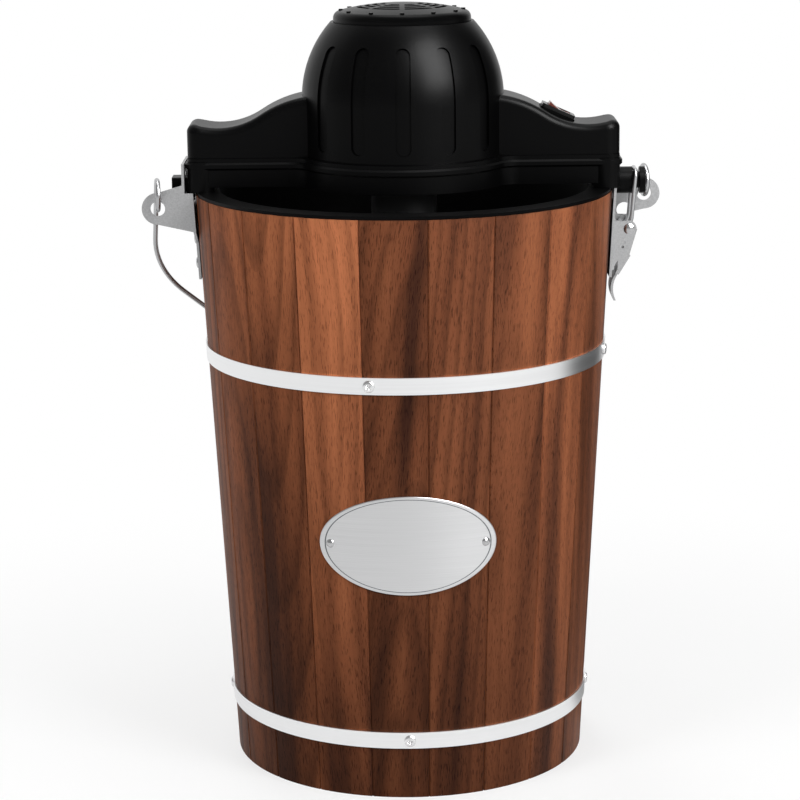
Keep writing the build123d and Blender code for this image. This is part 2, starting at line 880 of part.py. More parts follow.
# Turned grip on the middle of the bail
grip_middle = hinge_middle + bail_face * bail_eye_radius + bail_down * bail_depth
with BuildPart() as handle_grip:
    with BuildSketch(Plane(grip_middle, x_dir=hinge_line, z_dir=hinge_line.cross(bail_face))):
        with BuildLine():
            Polyline(
                (grip_half_length, grip_end_radius),
                (grip_half_length, bail_wire_radius + grip_clearance),
                (-grip_half_length, bail_wire_radius + grip_clearance),
                (-grip_half_length, grip_end_radius),
            )
            ThreePointArc(
                (-grip_half_length, grip_end_radius), (0, grip_radius), (grip_half_length, grip_end_radius)
            )
        make_face()
    revolve(axis=Axis(grip_middle, hinge_line))
handle_grip.part.label = "handle_grip"
export_step(handle_grip.part, "parts/handle_grip.step")


# Upper housing: a hollow dome between two hollow arms with a hand grip in each
def arm_side_view():
    # side view of the right arm, from inside the dome to the arm's end
    with BuildLine() as outline:
        grip_curve = ThreePointArc((arm_half_length, arm_lip_height), arm_dip, arm_rise)
        rise = TangentArc(grip_curve @ 1, arm_root, tangent=grip_curve % 1)
        root = Line(rise @ 1, rise @ 1 + rise % 1 * arm_root_run)
        Polyline(
            root @ 1,
            ((root @ 1).X, seam_height),
            (arm_half_length, seam_height),
            grip_curve @ 0,
        )
    return outline.line


def dome_face(inset):
    # half of the dome's section, its wall moved in by the inset
    top = dome_top - inset
    bend = dome_bend - inset
    middle = dome_radius - dome_bend
    top_radius = middle + sqrt(bend**2 - (top - dome_shoulder) ** 2)
    with BuildSketch(Plane.XZ) as section:
        with BuildLine():
            Polyline(
                (top_radius, top),
                (0, top),
                (0, seam_height),
                (dome_radius - inset, seam_height),
                (dome_radius - inset, dome_shoulder),
            )
            TangentArc((dome_radius - inset, dome_shoulder), (top_radius, top), tangent=(0, 1))
        make_face()
    return section.sketch


with BuildPart() as arms:
    with BuildSketch(Plane.XZ):
        add(arm_side_view())
        make_face()
    extrude(amount=arm_half_width, both=True)
    fillet(arms.edges().filter_by(Axis.Z).group_by(Axis.X)[-1], arm_corner)
    top_edges = arms.edges().filter_by(lambda edge: edge.bounding_box().min.Z > arm_dip[1] - arm_edge_round)
    crest_edges = top_edges.filter_by(Axis.Y).filter_by_position(Axis.X, 0, arm_dip[0])
    fillet(top_edges - crest_edges, arm_edge_round)
    mirror(about=Plane.YZ)

with BuildPart() as arm_hollow:
    with BuildSketch(Plane.XZ):
        add(arm_side_view())
        make_face()
        offset(amount=-housing_wall, mode=Mode.REPLACE)
        with Locations((arm_half_length - housing_wall, seam_height)):
            hollow_length = arm_half_length - housing_wall - dome_radius + 2 * housing_wall
            Rectangle(hollow_length, 2 * housing_wall, align=(Align.MAX, Align.MIN))
    extrude(amount=arm_half_width - housing_wall, both=True)
    fillet(arm_hollow.edges().filter_by(Axis.Z).group_by(Axis.X)[-1], arm_corner - housing_wall)
    mirror(about=Plane.YZ)

with BuildPart() as flute_slots:
    for facing in (0, 180):
        for index in range(flutes_per_side):
            swing = radians(facing + (index - (flutes_per_side - 1) / 2) * flute_pitch)
            outward = (sin(swing), -cos(swing), 0)
            with BuildSketch(Plane((0, 0, 0), x_dir=(0, 0, 1), z_dir=outward)):
                with Locations(((flute_low + flute_high) / 2, 0)):
                    SlotOverall(flute_high - flute_low, flute_width)
            extrude(amount=rim_radius)

with BuildPart() as flutes:
    add(dome_face(0))
    revolve(axis=Axis.Z)
    add(dome_face(flute_depth))
    revolve(axis=Axis.Z, mode=Mode.SUBTRACT)
    add(flute_slots.part, mode=Mode.INTERSECT)

switch_normal = Vector(sin(radians(switch_slope)), 0, cos(radians(switch_slope)))
switch_along = Vector(cos(radians(switch_slope)), 0, -sin(radians(switch_slope)))
switch_plane = Plane((switch_reach, 0, switch_seat_height), x_dir=switch_along, z_dir=switch_normal)
gland_plane = Plane((gland_reach, arm_half_width, gland_height), x_dir=(1, 0, 0), z_dir=(0, 1, 0))
housing_screw_spots = [
    (side_x * housing_screw_reach, side_y * housing_screw_side) for side_x in (-1, 1) for side_y in (-1, 1)
]
with BuildPart() as housing_bosses:
    with BuildSketch(Plane.XY.offset(seam_height)):
        with Locations(housing_screw_spots):
            Circle(housing_boss_radius)
    extrude(amount=arm_lip_height - seam_height)
    add(arm_hollow.part, mode=Mode.INTERSECT)

with BuildPart() as upper_housing:
    add(arms.part)
    add(dome_face(0))
    revolve(axis=Axis.Z)
    add(arm_hollow.part, mode=Mode.SUBTRACT)
    add(dome_face(housing_wall))
    revolve(axis=Axis.Z, mode=Mode.SUBTRACT)
    with BuildSketch(Plane.XY.offset(dome_top)):
        Circle(dome_opening_radius)
    extrude(amount=-2 * housing_wall, mode=Mode.SUBTRACT)
    add(flutes.part, mode=Mode.SUBTRACT)
    add(housing_bosses.part)
    with BuildSketch(Plane.XY.offset(seam_height)):
        with Locations(housing_screw_spots):
            Circle(housing_screw_radius + pilot_clearance)
    extrude(amount=housing_screw_bite + pilot_clearance, mode=Mode.SUBTRACT)
    with BuildSketch(switch_plane):
        RectangleRounded(bezel_length + seat_margin, bezel_width + seat_margin, seat_corner)
    extrude(amount=-seat_depth)
    with BuildSketch(switch_plane):
        Rectangle(bezel_body_length + 2 * bezel_clearance, bezel_body_width + 2 * bezel_clearance)
    extrude(amount=-2 * bezel_body_depth, mode=Mode.SUBTRACT)
    with Locations(gland_plane):
        Hole(gland_neck_radius + gland_clearance, depth=2 * housing_wall)
upper_housing.part.label = "upper_housing"
export_step(upper_housing.part, "parts/upper_housing.step")

# Vent cap: a crowned shell with ring slots between spokes, and a circle of pips
cap_edge = dome_top + cap_edge_height
crown_radius = ((cap_radius - cap_edge_round) ** 2 + cap_crown**2 - cap_edge_round**2) / (
    2 * (cap_crown - cap_edge_round)
)
crown_middle = cap_edge + cap_crown - crown_radius
crown_lean = atan2(cap_radius - cap_edge_round, crown_radius - cap_crown)


def crown_line(inset):
    # half of the crown's outline from its edge to its middle, moved in by the inset
    bend = crown_radius - inset
    joint = (bend * sin(crown_lean), crown_middle + bend * cos(crown_lean))
    with BuildLine() as outline:
        edge_arc = TangentArc((cap_radius - inset, cap_edge), joint, tangent=(0, 1))
        TangentArc(joint, (0, crown_middle + bend), tangent=edge_arc % 1)
    return outline.line


with BuildPart() as vent_cap:
    cap_inside = cap_radius - cap_wall
    with BuildSketch(Plane.XZ):
        with BuildLine():
            add(crown_line(0))
            add(crown_line(cap_wall))
            Line((0, cap_edge + cap_crown), (0, cap_edge + cap_crown - cap_wall))
            Polyline(
                (cap_radius, cap_edge), (cap_radius, dome_top), (cap_inside, dome_top), (cap_inside, cap_edge)
            )
        make_face()
    revolve(axis=Axis.Z)
    pip_seat = crown_middle + sqrt(crown_radius**2 - vent_pip_circle**2)
    with BuildSketch(Plane.XY.offset(pip_seat - cap_wall / 3)):
        with PolarLocations(vent_pip_circle, vent_pip_count):
            Circle(vent_pip_radius)
    extrude(amount=vent_pip_height + cap_wall / 3)
    with BuildSketch(Plane.XY.offset(dome_top)):
        for ring in reversed(range(vent_ring_count)):
            inner_radius = vent_first_radius + ring * vent_ring_pitch
            Circle(inner_radius + vent_slot)
            Circle(inner_radius, mode=Mode.SUBTRACT)
        with PolarLocations(0, vent_spoke_count // 2, angular_range=180):
            Rectangle(2 * cap_radius, vent_spoke_width, mode=Mode.SUBTRACT)
    extrude(amount=cap_radius, mode=Mode.SUBTRACT)
vent_cap.part.label = "vent_cap"
export_step(vent_cap.part, "parts/vent_cap.step")


# Lower housing: a bar with a round bulge, a bead below its top edge, a foot at each end
def base_plan(grow):
    # plan of the lower housing, moved out by the growth
    with BuildSketch() as plan:
        Rectangle(2 * (base_half_length + grow), 2 * (base_half_width + grow))
        fillet(plan.vertices(), foot_corner + grow)
        Circle(base_bulge_radius + grow)
        inner_corners = plan.vertices().filter_by_position(Axis.X, -base_bulge_radius, base_bulge_radius)
        fillet(inner_corners, base_blend - grow)
    return plan.sketch


with BuildPart() as bead:
    with BuildSketch(Plane.XY.offset(bead_low)):
        add(base_plan(bead_proud))
    extrude(amount=bead_tall)
    chamfer(bead.faces().filter_by(Axis.Z).edges(), bead_bevel)

with BuildPart() as lower_housing:
    with BuildSketch(Plane.XY.offset(base_underside)):
        add(base_plan(0))
    extrude(amount=seam_height - base_underside)
    add(bead.part)
    with BuildSketch(Plane.XY.offset(lip_top)) as foot_plan:
        for side in (-1, 1):
            with Locations((side * (base_half_length - foot_length / 2), 0)):
                RectangleRounded(foot_length, 2 * foot_half_width, foot_corner)
    extrude(amount=foot_top - lip_top)
    with BuildSketch(Plane.XY.offset(base_floor_top)):
        add(base_plan(-base_wall))
    extrude(amount=seam_height - base_floor_top, mode=Mode.SUBTRACT)
    with BuildSketch(Plane.XY.offset(base_floor_top)):
        with PolarLocations(pillar_circle, 4, start_angle=45):
            Circle(pillar_radius)
    extrude(amount=gear_plate_low - base_floor_top)
    thrust_inside = output_hub_radius + hub_hole_clearance
    with BuildSketch(Plane.XY.offset(base_floor_top)):
        Circle(thrust_inside + thrust_ring_width)
    extrude(amount=output_gear_low - thrust_gap - base_floor_top)
    with BuildSketch(Plane.XY.offset(base_underside)):
        Circle(thrust_inside)
    extrude(amount=base_wall + base_floor, mode=Mode.SUBTRACT)
    with BuildSketch(Plane.XY.offset(base_floor_top)):
        with Locations(housing_screw_spots):
            Circle(housing_boss_radius)
    extrude(amount=seam_height - base_floor_top)
    with Locations([(x, y, base_underside) for x, y in housing_screw_spots]):
        with Locations(Rotation(180, 0, 0)):
            CounterBoreHole(
                housing_screw_radius + housing_bore_clearance,
                housing_screw_head_radius + housing_bore_clearance,
                housing_screw_head + housing_bore_clearance,
                depth=seam_height - base_underside,
            )
    lug_start = rim_radius + bracket_clearance
    with BuildSketch(Plane.YZ.offset(-tongue_reach)):
        with Locations((0, (tongue_low + tongue_high) / 2)):
            RectangleRounded(2 * tongue_half_width, tongue_high - tongue_low, tongue_corner)
    extrude(amount=tongue_reach - lug_start)
    for start, end, radius in (
        (lug_start, lug_collar_end, lug_radius),
        (lug_collar_end, lug_groove_end, lug_groove_radius),
        (lug_groove_end, lug_end, lug_radius),
    ):
        with BuildSketch(Plane.YZ.offset(start)):
            with Locations((0, lug_height)):
                Circle(radius)
        extrude(amount=end - start)
lower_housing.part.label = "lower_housing"
export_step(lower_housing.part, "parts/lower_housing.step")

# Screws that join the housings
with BuildPart() as housing_screws:
    head_low = base_underside + housing_bore_clearance
    with BuildSketch(Plane.XY.offset(head_low)):
        with Locations(housing_screw_spots):
            Circle(housing_screw_head_radius)
    extrude(amount=housing_screw_head)
    with BuildSketch(Plane.XY.offset(head_low)):
        with Locations(housing_screw_spots):
            Circle(housing_screw_radius)
    extrude(amount=seam_height + housing_screw_bite - head_low)
housing_screws.part.label = "housing_screws"
export_step(housing_screws.part, "parts/housing_screws.step")

# Rocker switch: bezel with a snap-in body, and the rocker on two pins, tipped with its outer end down
rocker_turn = radians(switch_slope + rocker_tilt)
rocker_along = Vector(cos(rocker_turn), 0, -sin(rocker_turn))
rocker_pivot = switch_plane.origin + switch_normal * rocker_pivot_height
rocker_pins = Plane(rocker_pivot, x_dir=(1, 0, 0), z_dir=(0, -1, 0))
rocker_plane = Plane(
    rocker_pivot + Vector(0, rocker_width / 2, 0), x_dir=rocker_along, z_dir=(0, -1, 0)
)
with BuildPart() as switch_bezel:
    with BuildSketch(switch_plane):
        RectangleRounded(bezel_length, bezel_width, bezel_corner)
    extrude(amount=bezel_flange)
    with BuildSketch(switch_plane):
        Rectangle(bezel_body_length, bezel_body_width)
    extrude(amount=-bezel_body_depth)
    with BuildSketch(switch_plane.offset(bezel_flange)):
        Rectangle(rocker_opening_length, rocker_opening_width)
    extrude(amount=-rocker_opening_depth, mode=Mode.SUBTRACT)
    with BuildSketch(rocker_pins):
        Circle(rocker_pin_radius + running_clearance)
    extrude(amount=rocker_pin_reach + running_clearance, both=True, mode=Mode.SUBTRACT)
switch_bezel.part.label = "switch_bezel"
export_step(switch_bezel.part, "parts/switch_bezel.step")

with BuildPart() as switch_rocker:
    with BuildSketch(rocker_plane):
        with BuildLine():
            Polyline(
                (rocker_length / 2, rocker_end_height),
                (rocker_length / 2, 0),
                (rocker_length / 2 - rocker_undercut, rocker_underside),
                (-rocker_length / 2 + rocker_undercut, rocker_underside),
                (-rocker_length / 2, 0),
                (-rocker_length / 2, rocker_end_height),
            )
            ThreePointArc(
                (-rocker_length / 2, rocker_end_height),
                (0, rocker_dip_height),
                (rocker_length / 2, rocker_end_height),
            )
        make_face()
    extrude(amount=rocker_width)
    with BuildSketch(rocker_pins):
        Circle(rocker_pin_radius)
    extrude(amount=rocker_pin_reach, both=True)
switch_rocker.part.label = "switch_rocker"
export_step(switch_rocker.part, "parts/switch_rocker.step")

# Cord gland
with BuildPart() as cord_gland:
    with BuildSketch(gland_plane):
        Circle(gland_flange_radius)
    extrude(amount=gland_flange)
    with BuildSketch(gland_plane):
        Circle(gland_neck_radius)
    extrude(amount=-gland_neck_length)
    with BuildSketch(gland_plane.offset(gland_flange)):
        Circle(gland_bore_radius)
    extrude(amount=-gland_flange - gland_neck_length, mode=Mode.SUBTRACT)
cord_gland.part.label = "cord_gland"
export_step(cord_gland.part, "parts/cord_gland.step")

# Gear plate: it carries the fixed post that holds the dasher's square stem, and the motor's pillars
idler_spot = (0, gear_spacing)
with BuildPart() as gear_plate:
    with BuildSketch(Plane.XY.offset(gear_plate_low)):
        Circle(gear_plate_radius)
        with Locations(idler_spot):
            Circle(idler_hub_radius + idler_hole_clearance, mode=Mode.SUBTRACT)
    extrude(amount=gear_plate_thickness)
    with BuildSketch(Plane.XY.offset(post_low)):
        Circle(post_radius)
    extrude(amount=gear_plate_low - post_low)
    with BuildSketch(Plane.XY.offset(post_low)):
        Rectangle(stem_square + 2 * post_square_clearance, stem_square + 2 * post_square_clearance)
    extrude(amount=stem_square_high + post_square_clearance - post_low, mode=Mode.SUBTRACT)
    with BuildSketch(Plane.XY.offset(gear_plate_top)):
        with PolarLocations(pillar_circle, 4, start_angle=45):
            Circle(pillar_radius)
    extrude(amount=motor_bracket_low - gear_plate_top)
gear_plate.part.label = "gear_plate"
export_step(gear_plate.part, "parts/gear_plate.step")

# Output gear: its hub turns on the post, and its hexagonal socket drives the lid
half_tooth = 180 / wheel_teeth
with BuildPart() as output_gear:
    with BuildSketch(Plane.XY.offset(output_gear_low)):
        with BuildLine():
            Polyline(*gear_outline(wheel_teeth, half_tooth), close=True)
        make_face()
    extrude(amount=gear_face)
    with BuildSketch(Plane.XY.offset(output_hub_low)):
        Circle(output_hub_radius)
    extrude(amount=output_gear_low - output_hub_low)
    with BuildSketch(Plane.XY.offset(output_hub_low)):
        RegularPolygon(lid_drive_flats / 2 + drive_clearance, 6, major_radius=False)
    extrude(amount=output_socket_high - output_hub_low, mode=Mode.SUBTRACT)
    with BuildSketch(Plane.XY.offset(output_hub_low)):
        Circle(post_radius + running_clearance)
    extrude(amount=output_gear_low + gear_face - output_hub_low, mode=Mode.SUBTRACT)
output_gear.part.label = "output_gear"
export_step(output_gear.part, "parts/output_gear.step")


# Compound idler gear: pinion below the gear plate, wheel above it
def idler_plane(height):
    return Plane((*idler_spot, height))


with BuildPart() as idler_gear:
    with BuildSketch(idler_plane(output_gear_low)):
        with BuildLine():
            Polyline(*gear_outline(pinion_teeth, 0), close=True)
        make_face()
    extrude(amount=gear_face)
    with BuildSketch(idler_plane(output_gear_low + gear_face)):
        Circle(idler_hub_radius)
    extrude(amount=idler_wheel_low - output_gear_low - gear_face)
    with BuildSketch(idler_plane(idler_wheel_low)):
        with BuildLine():
            Polyline(*gear_outline(wheel_teeth, half_tooth), close=True)
        make_face()
    extrude(amount=gear_face)
    with Locations(idler_plane(idler_wheel_low + gear_face)):
        Hole(idler_pin_radius + running_clearance)
idler_gear.part.label = "idler_gear"
export_step(idler_gear.part, "parts/idler_gear.step")

with BuildPart() as idler_pin:
    with BuildSketch(idler_plane(base_floor_top)):
        Circle(idler_pin_radius)
    extrude(amount=motor_bracket_low - base_floor_top)
idler_pin.part.label = "idler_pin"
export_step(idler_pin.part, "parts/idler_pin.step")

with BuildPart() as motor_pinion:
    with BuildSketch(Plane.XY.offset(rotor_shaft_low)):
        with BuildLine():
            Polyline(*gear_outline(pinion_teeth, 0), close=True)
        make_face()
        Circle(rotor_shaft_radius + pinion_clearance, mode=Mode.SUBTRACT)
    extrude(amount=idler_wheel_low + gear_face - rotor_shaft_low)
motor_pinion.part.label = "motor_pinion"
export_step(motor_pinion.part, "parts/motor_pinion.step")

# Motor: lower bracket, stator with two poles, field coils, upper bracket, rotor and fan
motor_bracket_top = motor_bracket_low + motor_bracket_plate
with BuildPart() as lower_motor_bracket:
    with BuildSketch(Plane.XY.offset(motor_bracket_low)):
        Circle(motor_bracket_radius)
    extrude(amount=motor_bracket_plate)
    with BuildSketch(Plane.XY.offset(motor_bracket_top)):
        Circle(bearing_boss_radius)
    extrude(amount=bearing_boss_tall)
    with BuildSketch(Plane.XY.offset(motor_bracket_top)):
        with PolarLocations(stator_post_circle, 2):
            Circle(stator_post_radius)
    extrude(amount=stator_low - motor_bracket_top)
    with Locations((0, 0, stator_low)):
        Hole(rotor_shaft_radius + running_clearance)
lower_motor_bracket.part.label = "lower_motor_bracket"
export_step(lower_motor_bracket.part, "parts/lower_motor_bracket.step")

with BuildPart() as motor_stator:
    with BuildSketch(Plane.XY.offset(stator_low)):
        Circle(stator_outer_radius)
        Circle(stator_outer_radius - stator_yoke, mode=Mode.SUBTRACT)
        for side in (-1, 1):
            with Locations((side * (stator_outer_radius - stator_yoke / 2) / 2, 0)):
                Rectangle(stator_outer_radius - stator_yoke / 2, 2 * pole_half_width)
        Circle(stator_bore_radius, mode=Mode.SUBTRACT)
    extrude(amount=stator_high - stator_low)
motor_stator.part.label = "motor_stator"
export_step(motor_stator.part, "parts/motor_stator.step")

with BuildPart() as motor_coils:
    coil_inside = pole_half_width + coil_clearance
    coil_inside_tall = (stator_high - stator_low) / 2 + coil_clearance
    for start in (coil_near, -coil_far):
        with BuildSketch(Plane.YZ.offset(start)):
            with Locations((0, (stator_low + stator_high) / 2)):
                RectangleRounded(
                    2 * (coil_inside + coil_section), 2 * (coil_inside_tall + coil_section), coil_section
                )
                Rectangle(2 * coil_inside, 2 * coil_inside_tall, mode=Mode.SUBTRACT)
        extrude(amount=coil_far - coil_near)
motor_coils.part.label = "motor_coils"
export_step(motor_coils.part, "parts/motor_coils.step")

with BuildPart() as upper_motor_bracket:
    with BuildSketch(Plane.XY.offset(upper_bracket_low)):
        SlotCenterToCenter(2 * stator_post_circle, 2 * upper_bracket_half_width)
    extrude(amount=motor_bracket_plate)
    with BuildSketch(Plane.XY.offset(stator_high)):
        with PolarLocations(stator_post_circle, 2):
            Circle(stator_post_radius)
    extrude(amount=upper_bracket_low - stator_high)
    with Locations((0, 0, upper_bracket_low + motor_bracket_plate)):
        Hole(rotor_shaft_radius + running_clearance)
upper_motor_bracket.part.label = "upper_motor_bracket"
export_step(upper_motor_bracket.part, "parts/upper_motor_bracket.step")

with BuildPart() as rotor:
    for low, high, radius in (
        (rotor_shaft_low, rotor_shaft_high, rotor_shaft_radius),
        (stator_low, stator_high, rotor_core_radius),
        (commutator_low, commutator_high, commutator_radius),
    ):
        with BuildSketch(Plane.XY.offset(low)):
            Circle(radius)
        extrude(amount=high - low)
rotor.part.label = "rotor"
export_step(rotor.part, "parts/rotor.step")

with BuildPart() as cooling_fan:
    with BuildSketch(Plane.XY.offset(fan_low)):
        Circle(fan_radius)
    extrude(amount=fan_plate)
    with BuildSketch(Plane.XY.offset(fan_low)):
        Circle(fan_hub_radius)
        with PolarLocations((fan_vane_inner + fan_vane_outer) / 2, fan_vane_count):
            Rectangle(fan_vane_outer - fan_vane_inner, fan_vane_thickness)
    extrude(amount=fan_tall)
    with Locations((0, 0, fan_low + fan_tall)):
        Hole(rotor_shaft_radius + pinion_clearance)
cooling_fan.part.label = "cooling_fan"
export_step(cooling_fan.part, "parts/cooling_fan.step")


# Canister: a tapered can with a rim, and a socket in its floor for the pivot
def canister_outside(height):
    rise = (height - canister_low) / (canister_high - canister_low)
    return canister_low_radius + (canister_high_radius - canister_low_radius) * rise


rim_low = canister_high - canister_rim_tall
canister_floor_top = canister_low + canister_floor
socket_radius = pivot_pin_radius + running_clearance
socket_end = pivot_pin_high + socket_end_gap
with BuildPart() as canister:
    with BuildSketch(Plane.XZ):
        with BuildLine():
            Polyline(
                (socket_radius, canister_low),
                (canister_low_radius, canister_low),
                (canister_outside(rim_low), rim_low),
                (canister_rim_radius, rim_low),
                (canister_rim_radius, canister_high),
                (canister_outside(canister_high) - canister_wall, canister_high),
                (canister_outside(canister_floor_top) - canister_wall, canister_floor_top),
                (socket_radius + socket_wall, canister_floor_top),
                (socket_radius + socket_wall, socket_end + socket_roof),
                (0, socket_end + socket_roof),
                (0, socket_end),
                (socket_radius, socket_end),
                close=True,
            )
        make_face()
    revolve(axis=Axis.Z)
canister.part.label = "canister"
export_step(canister.part, "parts/canister.step")

with BuildPart() as canister_pivot:
    with BuildSketch(Plane.XY.offset(liner_floor_top)):
        Circle(pivot_flange_radius)
    extrude(amount=pivot_flange)
    with BuildSketch(Plane.XY.offset(liner_floor_top)):
        Circle(pivot_pin_radius)
    extrude(amount=pivot_pin_high - liner_floor_top)
canister_pivot.part.label = "canister_pivot"
export_step(canister_pivot.part, "parts/canister_pivot.step")

# Lid: a cap over the rim with a hexagonal drive boss
with BuildPart() as canister_lid:
    skirt_inside = canister_rim_radius + lid_clearance
    with BuildSketch(Plane.XY.offset(canister_high - lid_skirt)):
        Circle(skirt_inside + lid_skirt_wall)
    extrude(amount=lid_skirt + lid_plate)
    with BuildSketch(Plane.XY.offset(canister_high - lid_skirt)):
        Circle(skirt_inside)
    extrude(amount=lid_skirt, mode=Mode.SUBTRACT)
    with BuildSketch(Plane.XY.offset(canister_high)):
        Circle(lid_boss_radius)
    extrude(amount=lid_boss_high - canister_high)
    with BuildSketch(Plane.XY.offset(lid_boss_high)):
        RegularPolygon(lid_drive_flats / 2, 6, major_radius=False)
    extrude(amount=lid_drive_high - lid_boss_high)
    with Locations((0, 0, lid_drive_high)):
        Hole(stem_radius + running_clearance)
canister_lid.part.label = "canister_lid"
export_step(canister_lid.part, "parts/canister_lid.step")


# Dasher: a stem with cross arms and upright bars, a scraper blade at each side
def canister_inside(height):
    return canister_outside(height) - canister_wall


dasher_low = canister_floor_top + dasher_floor_gap
with BuildPart() as dasher:
    with BuildSketch(Plane.XY.offset(dasher_low)):
        Circle(dasher_hub_radius)
    extrude(amount=dasher_hub_tall)
    with BuildSketch(Plane.XY.offset(dasher_low)):
        Circle(stem_radius)
    extrude(amount=stem_square_low - dasher_low)
    with BuildSketch(Plane.XY.offset(stem_square_low)):
        Rectangle(stem_square, stem_square)
    extrude(amount=stem_square_high - stem_square_low)
    for height in dasher_arm_heights:
        with BuildSketch(Plane.XY.offset(height - dasher_arm_tall / 2)):
            Rectangle(2 * dasher_arm_reach, dasher_arm_width)
        extrude(amount=dasher_arm_tall)
    with BuildSketch(Plane.XY.offset(dasher_arm_heights[0])):
        with PolarLocations(dasher_bar_reach, 2):
            Rectangle(dasher_bar_width, dasher_bar_thickness)
    extrude(amount=dasher_arm_heights[-1] - dasher_arm_heights[0])
    with BuildSketch(Plane.XY.offset(dasher_low)):
        Circle(socket_radius + socket_wall + running_clearance)
    extrude(amount=socket_end + socket_roof + socket_end_gap - dasher_low, mode=Mode.SUBTRACT)
dasher.part.label = "dasher"
export_step(dasher.part, "parts/dasher.step")

with BuildPart() as dasher_blades:
    with BuildSketch(side_plane(blade_thickness / 2)):
        with BuildLine():
            Polyline(
                (dasher_arm_reach, blade_low),
                (canister_inside(blade_low) - blade_gap, blade_low),
                (canister_inside(blade_high) - blade_gap, blade_high),
                (dasher_arm_reach, blade_high),
                close=True,
            )
        make_face()
        mirror(about=Plane.YZ)
    extrude(amount=blade_thickness)
dasher_blades.part.label = "dasher_blades"
export_step(dasher_blades.part, "parts/dasher_blades.step")
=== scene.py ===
import json
import math
import bmesh
import bpy
import numpy as np
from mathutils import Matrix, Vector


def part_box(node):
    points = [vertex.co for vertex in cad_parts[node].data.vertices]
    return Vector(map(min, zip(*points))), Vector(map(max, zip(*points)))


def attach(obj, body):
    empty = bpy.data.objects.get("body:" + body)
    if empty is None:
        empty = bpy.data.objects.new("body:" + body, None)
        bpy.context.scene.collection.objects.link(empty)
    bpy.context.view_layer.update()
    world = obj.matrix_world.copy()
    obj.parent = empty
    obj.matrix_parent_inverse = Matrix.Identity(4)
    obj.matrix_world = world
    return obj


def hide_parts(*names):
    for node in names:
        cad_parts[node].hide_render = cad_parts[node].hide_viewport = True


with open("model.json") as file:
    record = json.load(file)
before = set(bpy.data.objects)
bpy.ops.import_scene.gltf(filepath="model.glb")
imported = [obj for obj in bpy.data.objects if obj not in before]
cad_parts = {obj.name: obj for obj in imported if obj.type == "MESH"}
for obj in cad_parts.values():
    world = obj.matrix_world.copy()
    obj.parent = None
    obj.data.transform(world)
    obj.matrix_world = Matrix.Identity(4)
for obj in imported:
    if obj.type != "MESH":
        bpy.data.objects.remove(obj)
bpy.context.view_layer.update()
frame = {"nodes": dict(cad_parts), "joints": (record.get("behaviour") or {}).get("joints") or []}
nodes = frame["nodes"]
print("frame loaded:", len(nodes), "nodes")


# small helpers for shader trees
def startMaterial(name, look):
    # a material with one Principled shader, its even values set on the shader's own sockets
    material = bpy.data.materials.new(name)
    material.use_nodes = True
    tree = material.node_tree
    tree.nodes.clear()
    output = tree.nodes.new("ShaderNodeOutputMaterial")
    shader = tree.nodes.new("ShaderNodeBsdfPrincipled")
    tree.links.new(shader.outputs["BSDF"], output.inputs["Surface"])
    for socket, value in look.items():
        shader.inputs[socket].default_value = value
    return material, tree, shader


def joinTo(tree, socket, value):
    # a socket is linked, a plain number or colour is written
    if isinstance(value, bpy.types.NodeSocket):
        tree.links.new(value, socket)
    else:
        socket.default_value = value


def mathStep(tree, operation, first, second=0.0):
    node = tree.nodes.new("ShaderNodeMath")
    node.operation = operation
    joinTo(tree, node.inputs[0], first)
    joinTo(tree, node.inputs[1], second)
    return node.outputs[0]


def plus(tree, first, second):
    return mathStep(tree, "ADD", first, second)


def minus(tree, first, second):
    return mathStep(tree, "SUBTRACT", first, second)


def times(tree, first, second):
    return mathStep(tree, "MULTIPLY", first, second)


def distance(tree, first, second):
    # length of the diagonal of two steps at right angles
    return mathStep(tree, "SQRT", plus(tree, times(tree, first, first), times(tree, second, second)))


def splitAxes(tree, vector):
    node = tree.nodes.new("ShaderNodeSeparateXYZ")
    tree.links.new(vector, node.inputs[0])
    return node.outputs


def placed(tree, scale=(1, 1, 1), turn=(0, 0, 0), shift=(0, 0, 0), vector=None):
    # object coordinates, or another vector, scaled, turned and then shifted
    mapping = tree.nodes.new("ShaderNodeMapping")
    if vector is None:
        vector = tree.nodes.new("ShaderNodeTexCoord").outputs["Object"]
    mapping.inputs["Scale"].default_value = scale
    mapping.inputs["Rotation"].default_value = turn
    mapping.inputs["Location"].default_value = shift
    tree.links.new(vector, mapping.inputs["Vector"])
    return mapping.outputs["Vector"]


def noiseField(tree, vector, detail=3.0, roughness=0.55):
    # noise whose scale is already in the vector
    node = tree.nodes.new("ShaderNodeTexNoise")
    node.inputs["Scale"].default_value = 1.0
    node.inputs["Detail"].default_value = detail
    node.inputs["Roughness"].default_value = roughness
    tree.links.new(vector, node.inputs["Vector"])
    return node.outputs["Fac"]


def ramp(tree, factor, stops):
    # stops are pairs of a place and a colour
    node = tree.nodes.new("ShaderNodeValToRGB")
    elements = node.color_ramp.elements
    while len(elements) < len(stops):
        elements.new(0.5)
    for element, (place, colour) in zip(elements, stops):
        element.position = place
        element.color = (*colour, 1)
    tree.links.new(factor, node.inputs["Fac"])
    return node.outputs["Color"]


def shaded(share, colour):
    return tuple(share * channel for channel in colour)


def spread(tree, factor, low, high):
    # a field from 0 to 1 carried to a range from low to high
    node = tree.nodes.new("ShaderNodeMapRange")
    node.inputs["To Min"].default_value = low
    node.inputs["To Max"].default_value = high
    tree.links.new(factor, node.inputs["Value"])
    return node.outputs["Result"]


def softEdge(tree, value, edges, low=0.0, high=1.0):
    # a smooth step from low to high between two edges
    node = tree.nodes.new("ShaderNodeMapRange")
    node.interpolation_type = "SMOOTHSTEP"
    node.inputs["From Min"].default_value, node.inputs["From Max"].default_value = edges
    node.inputs["To Min"].default_value = low
    node.inputs["To Max"].default_value = high
    tree.links.new(value, node.inputs["Value"])
    return node.outputs["Result"]


